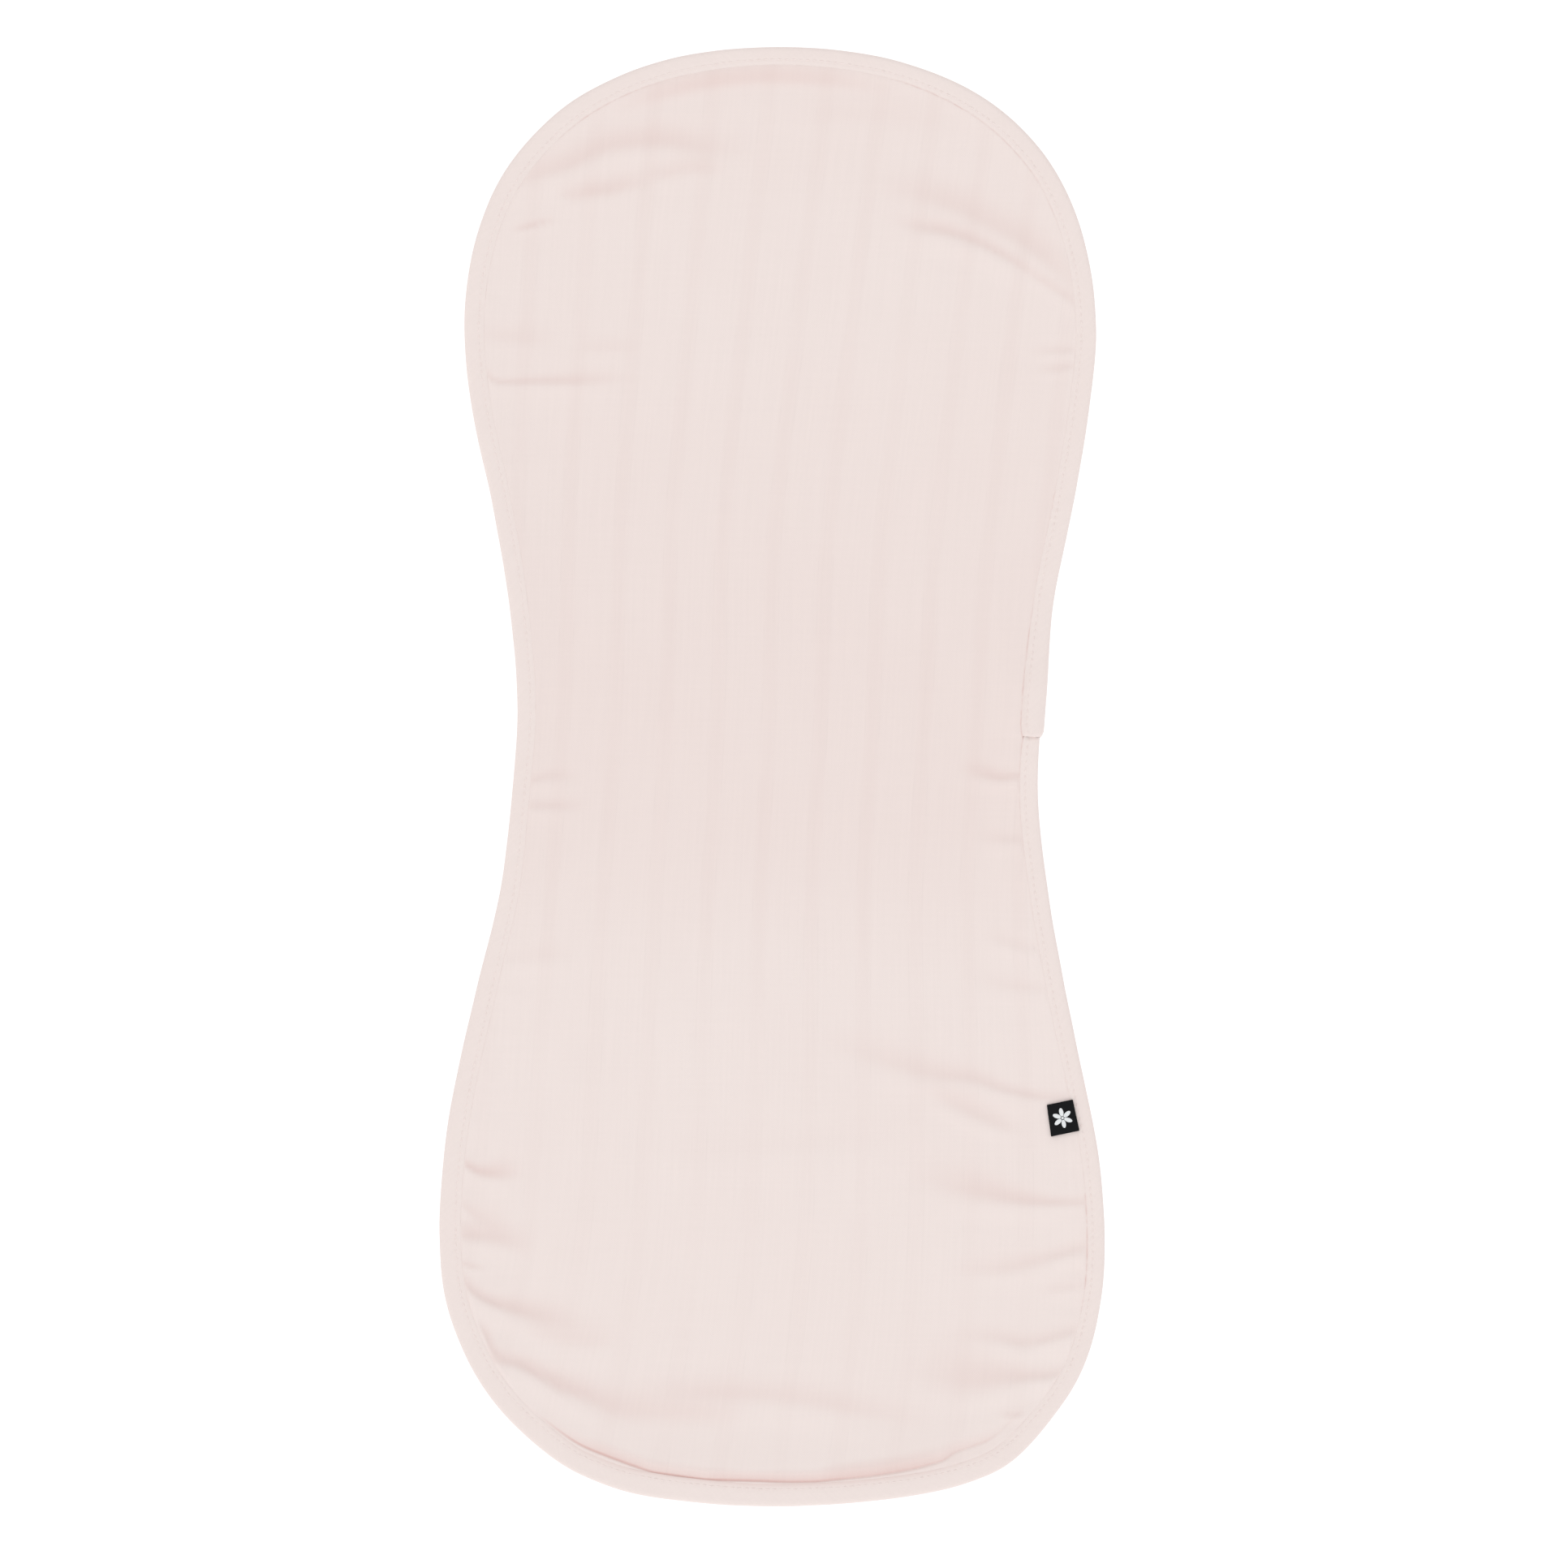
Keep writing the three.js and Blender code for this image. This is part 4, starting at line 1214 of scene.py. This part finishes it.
def uneven_shade(tree, level, middle, amount, base=1.0):
    """A base factor made more or less as a level passes its middle."""
    return calc(tree, "MULTIPLY_ADD", calc(tree, "SUBTRACT", level, middle), amount, base)


def group_of(name, inputs, outputs):
    """An empty node group with named sockets: inputs are (name, kind, value) and outputs (name, kind)."""
    tree = bpy.data.node_groups.new(name, "ShaderNodeTree")
    for label, kind, value in inputs:
        socket = tree.interface.new_socket(label, in_out="INPUT", socket_type=kind)
        if value is not None:
            socket.default_value = value
    for label, kind in outputs:
        tree.interface.new_socket(label, in_out="OUTPUT", socket_type=kind)
    return tree, tree.nodes.new("NodeGroupInput").outputs, tree.nodes.new("NodeGroupOutput").inputs


def plain_weave():
    """Plain weave: crossing threads with uneven thickness, and faint streaks along both ways."""
    tree, given, out = group_of(
        "plain weave",
        [
            ("Cloth", "NodeSocketVector", None),
            ("Threads per metre", "NodeSocketFloat", MUSLIN_THREADS),
            ("Unevenness", "NodeSocketFloat", 0.5),
        ],
        [("Height", "NodeSocketFloat"), ("Streaks", "NodeSocketFloat")],
    )
    wander = cloudy(tree, given["Cloth"], WANDER_CLOUDS, 1.0, "Color")
    centred = vector_calc(tree, "SUBTRACT", wander, (0.5, 0.5, 0.5))
    shift = vector_calc(tree, "SCALE", centred, THREAD_WANDER)
    moved = vector_calc(tree, "ADD", given["Cloth"], shift)
    parts = add_node(tree, "ShaderNodeSeparateXYZ", {0: moved}).outputs
    turns = calc(tree, "MULTIPLY", given["Threads per metre"], math.pi)
    warp = calc(tree, "SINE", calc(tree, "MULTIPLY", parts["X"], turns))
    weft = calc(tree, "SINE", calc(tree, "MULTIPLY", parts["Y"], turns))
    crossing = calc(tree, "MULTIPLY_ADD", calc(tree, "MULTIPLY", warp, weft), 0.5, 0.5)
    streaks = []
    for stretch in (WARP_SLUBS, WEFT_SLUBS):
        along = vector_calc(tree, "MULTIPLY", given["Cloth"], stretch)
        streaks.append(cloudy(tree, along, 1.0, 3.0))
    mixed = calc(tree, "MULTIPLY", streaks[0], WARP_SLUB_SHARE)
    mixed = calc(tree, "MULTIPLY_ADD", streaks[1], 1 - WARP_SLUB_SHARE, mixed)
    uneven = calc(tree, "MULTIPLY", mixed, given["Unevenness"])
    tree.links.new(calc(tree, "ADD", crossing, uneven), out["Height"])
    tree.links.new(mixed, out["Streaks"])
    return tree


def soft_stripes():
    """Repeating stripes of denser threads: soft bands, and a fine line along each side of a band."""
    tree, given, out = group_of(
        "denser stripes",
        [("Cloth", "NodeSocketVector", None), ("Pitch", "NodeSocketFloat", WARP_PITCH * MM)],
        [("Stripe", "NodeSocketFloat"), ("Lines", "NodeSocketFloat")],
    )
    parts = add_node(tree, "ShaderNodeSeparateXYZ", {0: given["Cloth"]}).outputs
    share = calc(tree, "DIVIDE", parts["X"], given["Pitch"])
    nearest = calc(tree, "ROUND", share)
    aside = calc(tree, "ABSOLUTE", calc(tree, "SUBTRACT", share, nearest))
    away = calc(tree, "MULTIPLY", aside, given["Pitch"])
    band = smooth_range(tree, away, *BAND_FADES)
    from_line = calc(tree, "ABSOLUTE", calc(tree, "SUBTRACT", away, LINE_AWAY))
    line = smooth_range(tree, from_line, *LINE_FADES)
    # Both come and go along the warp, each stripe in its own way.
    number = calc(tree, "MULTIPLY", nearest, 7.3)
    apart = add_node(tree, "ShaderNodeCombineXYZ", {0: number, 1: parts["Y"]}).outputs[0]
    shown = smooth_range(tree, cloudy(tree, apart, STRIPE_CLOUDS, 2.0), *STRIPE_SHOWS)
    strength = calc(tree, "MULTIPLY_ADD", shown, STRIPE_MORE, STRIPE_LEAST)
    gained = smooth_range(tree, parts["Y"], *STRIPES_GAIN)
    gained = calc(tree, "MULTIPLY_ADD", gained, 1 - STRIPE_LOWER, STRIPE_LOWER)
    strength = calc(tree, "MULTIPLY", strength, gained)
    tree.links.new(calc(tree, "MULTIPLY", band, strength), out["Stripe"])
    broken = smooth_range(tree, cloudy(tree, apart, LINE_CLOUDS, 2.0), *LINE_SHOWS)
    tree.links.new(calc(tree, "MULTIPLY", line, broken), out["Lines"])
    return tree


def deepened_colour():
    """A colour made lighter or darker, then deepened: less of its green and blue than of its red."""
    tree, given, out = group_of(
        "deepened colour",
        [
            ("Colour", "NodeSocketVector", None),
            ("Shade", "NodeSocketFloat", 1.0),
            ("Deepening", "NodeSocketFloat", 0.0),
        ],
        [("Colour", "NodeSocketColor")],
    )
    lost = vector_calc(tree, "SCALE", DEEPENED, given["Deepening"])
    kept = vector_calc(tree, "SUBTRACT", (1, 1, 1), lost)
    shaded = vector_calc(tree, "SCALE", given["Colour"], given["Shade"])
    mixed = vector_calc(tree, "MULTIPLY", shaded, kept)
    tree.links.new(mixed, out["Colour"])
    return tree


def new_material(name, colour, roughness, specular, sheen):
    """A material whose shader has its constant values set on its own sockets."""
    material = bpy.data.materials.new(name)
    material.use_nodes = True
    tree = material.node_tree
    shader = tree.nodes["Principled BSDF"]
    shader.inputs["Base Color"].default_value = (*colour, 1)
    shader.inputs["Roughness"].default_value = roughness
    shader.inputs["Specular IOR Level"].default_value = specular
    shader.inputs["Sheen Weight"].default_value = sheen
    shader.inputs["Sheen Roughness"].default_value = 0.6
    return material, tree, shader


def tint(tree, shader, colour, factor):
    """Makes the material's colour lighter or darker by a factor socket."""
    tree.links.new(vector_calc(tree, "SCALE", colour, factor), shader.inputs["Base Color"])


def raise_threads(tree, shader, height, strength):
    """Raises the threads of a weave in the material's surface."""
    inputs = {"Height": height, "Strength": strength, "Distance": THREAD_HIGH}
    bump = add_node(tree, "ShaderNodeBump", inputs)
    tree.links.new(bump.outputs[0], shader.inputs["Normal"])


def muslin(name, colour, weave, deepened, stripes=None):
    """Muslin: fine plain weave with slubs and an uneven tone, darkened by the painted shade stored on its
    mesh and, on the panel, deeper towards the waist and in its stripes."""
    material, tree, shader = new_material(name, colour, roughness=0.95, specular=0.12, sheen=0.1)
    cloth = add_node(tree, "ShaderNodeUVMap", uv_map="cloth").outputs[0]
    woven = add_node(tree, "ShaderNodeGroup", {"Cloth": cloth}, node_tree=weave)
    mottle = cloudy(tree, cloth, MOTTLE_CLOUDS, 3.0)
    shade = uneven_shade(tree, woven.outputs["Streaks"], 0.5, SLUB_SHADE)
    shade = uneven_shade(tree, woven.outputs["Height"], 0.75, THREAD_SHADE, shade)
    # The painted shade stored on the mesh darkens the colour, its green and blue more than its red.
    painted_shade_fac = add_node(tree, "ShaderNodeAttribute", attribute_name="painted_shade").outputs["Fac"]
    deep = calc(tree, "MULTIPLY", painted_shade_fac, PAINTED_SHADE_DEEP)
    deep = uneven_shade(tree, mottle, 0.5, MOTTLE_DEEP, deep)
    if stripes:
        level = add_node(tree, "ShaderNodeSeparateXYZ", {0: cloth}).outputs["Y"]
        above_bottom = smooth_range(tree, level, *WAIST_COMES)
        below_top = smooth_range(tree, level, *WAIST_GOES)
        waist = calc(tree, "MINIMUM", above_bottom, below_top)
        deep = calc(tree, "MULTIPLY_ADD", waist, WAIST_DEEP, deep)
        deep = calc(tree, "MULTIPLY_ADD", smooth_range(tree, level, *TOP_COMES), TOP_DEEP, deep)
        bands = add_node(tree, "ShaderNodeGroup", {"Cloth": cloth}, node_tree=stripes)
        deep = calc(tree, "MULTIPLY_ADD", bands.outputs["Stripe"], STRIPE_DEEP, deep)
        shade = calc(tree, "MULTIPLY_ADD", bands.outputs["Stripe"], -STRIPE_SHADE, shade)
        shade = calc(tree, "MULTIPLY_ADD", bands.outputs["Lines"], -LINE_SHADE, shade)
    parts = {"Colour": colour, "Shade": shade, "Deepening": deep}
    mixed = add_node(tree, "ShaderNodeGroup", parts, node_tree=deepened)
    tree.links.new(mixed.outputs["Colour"], shader.inputs["Base Color"])
    raise_threads(tree, shader, woven.outputs["Height"], 0.3)
    return material


def sewing_thread():
    """Matching thread with a fine twist."""
    material, tree, shader = new_material("matching thread", THREAD, roughness=0.8, specular=0.3, sheen=0.1)
    place = add_node(tree, "ShaderNodeTexCoord").outputs["Object"]
    twist = cloudy(tree, place, TWIST_CLOUDS, 1.0)
    tint(tree, shader, THREAD, uneven_shade(tree, twist, 0.5, TWIST_SHADE))
    return material


def woven_ribbon(weave):
    """Black woven ribbon with fine ribs across and a slight satin sheen."""
    material, tree, shader = new_material(
        "black ribbon", RIBBON_BLACK, roughness=0.6, specular=0.08, sheen=0.03
    )
    cloth = add_node(tree, "ShaderNodeUVMap", uv_map="cloth").outputs[0]
    threads = {"Cloth": cloth, "Threads per metre": RIBBON_THREADS}
    woven = add_node(tree, "ShaderNodeGroup", threads, node_tree=weave)
    tint(tree, shader, RIBBON_BLACK, calc(tree, "MULTIPLY_ADD", woven.outputs["Height"], 0.9, 0.5))
    raise_threads(tree, shader, woven.outputs["Height"], 0.5)
    return material


def motif_thread():
    """Pale grey satin thread for the label's flower."""
    material, tree, shader = new_material(
        "pale motif thread", MOTIF_GREY, roughness=0.6, specular=0.4, sheen=0.1
    )
    place = add_node(tree, "ShaderNodeTexCoord").outputs["Object"]
    lay = cloudy(tree, place, SATIN_CLOUDS, 1.0)
    tint(tree, shader, MOTIF_GREY, uneven_shade(tree, lay, 0.5, SATIN_SHADE))
    return material


def studio_floor():
    """A plain white floor, lit through from below."""
    bpy.ops.object.select_all(action="DESELECT")
    bpy.ops.mesh.primitive_plane_add(size=FLOOR_SIZE, location=(0, 0, -FLOOR_DROP))
    floor = bpy.context.object
    floor.name = "studio_floor"
    material, tree, shader = new_material(
        "studio white", FLOOR_WHITE, roughness=0.9, specular=0.1, sheen=0.0
    )
    place = add_node(tree, "ShaderNodeTexCoord").outputs["Object"]
    cloud = cloudy(tree, place, FLOOR_CLOUDS, 2.0)
    tint(tree, shader, FLOOR_WHITE, uneven_shade(tree, cloud, 0.5, FLOOR_UNEVEN))
    shader.inputs["Emission Color"].default_value = (1, 1, 1, 1)
    shader.inputs["Emission Strength"].default_value = FLOOR_GLOW
    floor.data.materials.append(material)


def overhead_camera():
    """The camera, straight above and square to the cloth."""
    camera = bpy.data.cameras.new("overhead camera")
    camera.lens = LENS
    camera.sensor_width = FILM
    camera.clip_end = 50
    holder = bpy.data.objects.new("overhead camera", camera)
    away = PICTURE_PX * MM_PER_PX / FILM * LENS
    holder.location = (PICTURE_MIDDLE[0] * MM, PICTURE_MIDDLE[1] * MM, (away + PANEL_THICK) * MM)
    bpy.context.scene.collection.objects.link(holder)
    bpy.context.scene.camera = holder


def studio_light():
    """Soft light all round, a broad lamp beyond the cloth's bottom end and a weak one beside it."""
    scene = bpy.context.scene
    scene.view_settings.view_transform = "Standard"
    world = bpy.data.worlds.new("studio air")
    world.use_nodes = True
    back = world.node_tree.nodes["Background"]
    back.inputs["Color"].default_value = (1, 1, 1, 1)
    back.inputs["Strength"].default_value = AIR_GLOW
    scene.world = world
    for name, strength, spread, slant, turn in LAMPS:
        lamp = bpy.data.lights.new(name, "SUN")
        lamp.energy = strength
        lamp.angle = math.radians(spread)
        holder = bpy.data.objects.new(name, lamp)
        holder.rotation_euler = (math.radians(slant), 0, math.radians(turn))
        scene.collection.objects.link(holder)


overhead_camera()
studio_light()
studio_floor()

weave = plain_weave()
stripes = soft_stripes()
deepened = deepened_colour()
panel_cloth = muslin("panel muslin", MUSLIN, weave, deepened, stripes)
strip_cloth = muslin("strip muslin", MUSLIN_STRIP, weave, deepened)

panel = laid_panel(panel_cloth)
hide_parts("panel")
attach(panel, "root")

strip = bound_edge(strip_cloth)
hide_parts("edge_binding")
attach(strip, "root")

stitches = topstitching(sewing_thread())
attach(stitches, "root")

label = ribbon_label(woven_ribbon(weave))
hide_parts("label")
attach(label, "root")

flower = sewn_flower(motif_thread())
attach(flower, "root")
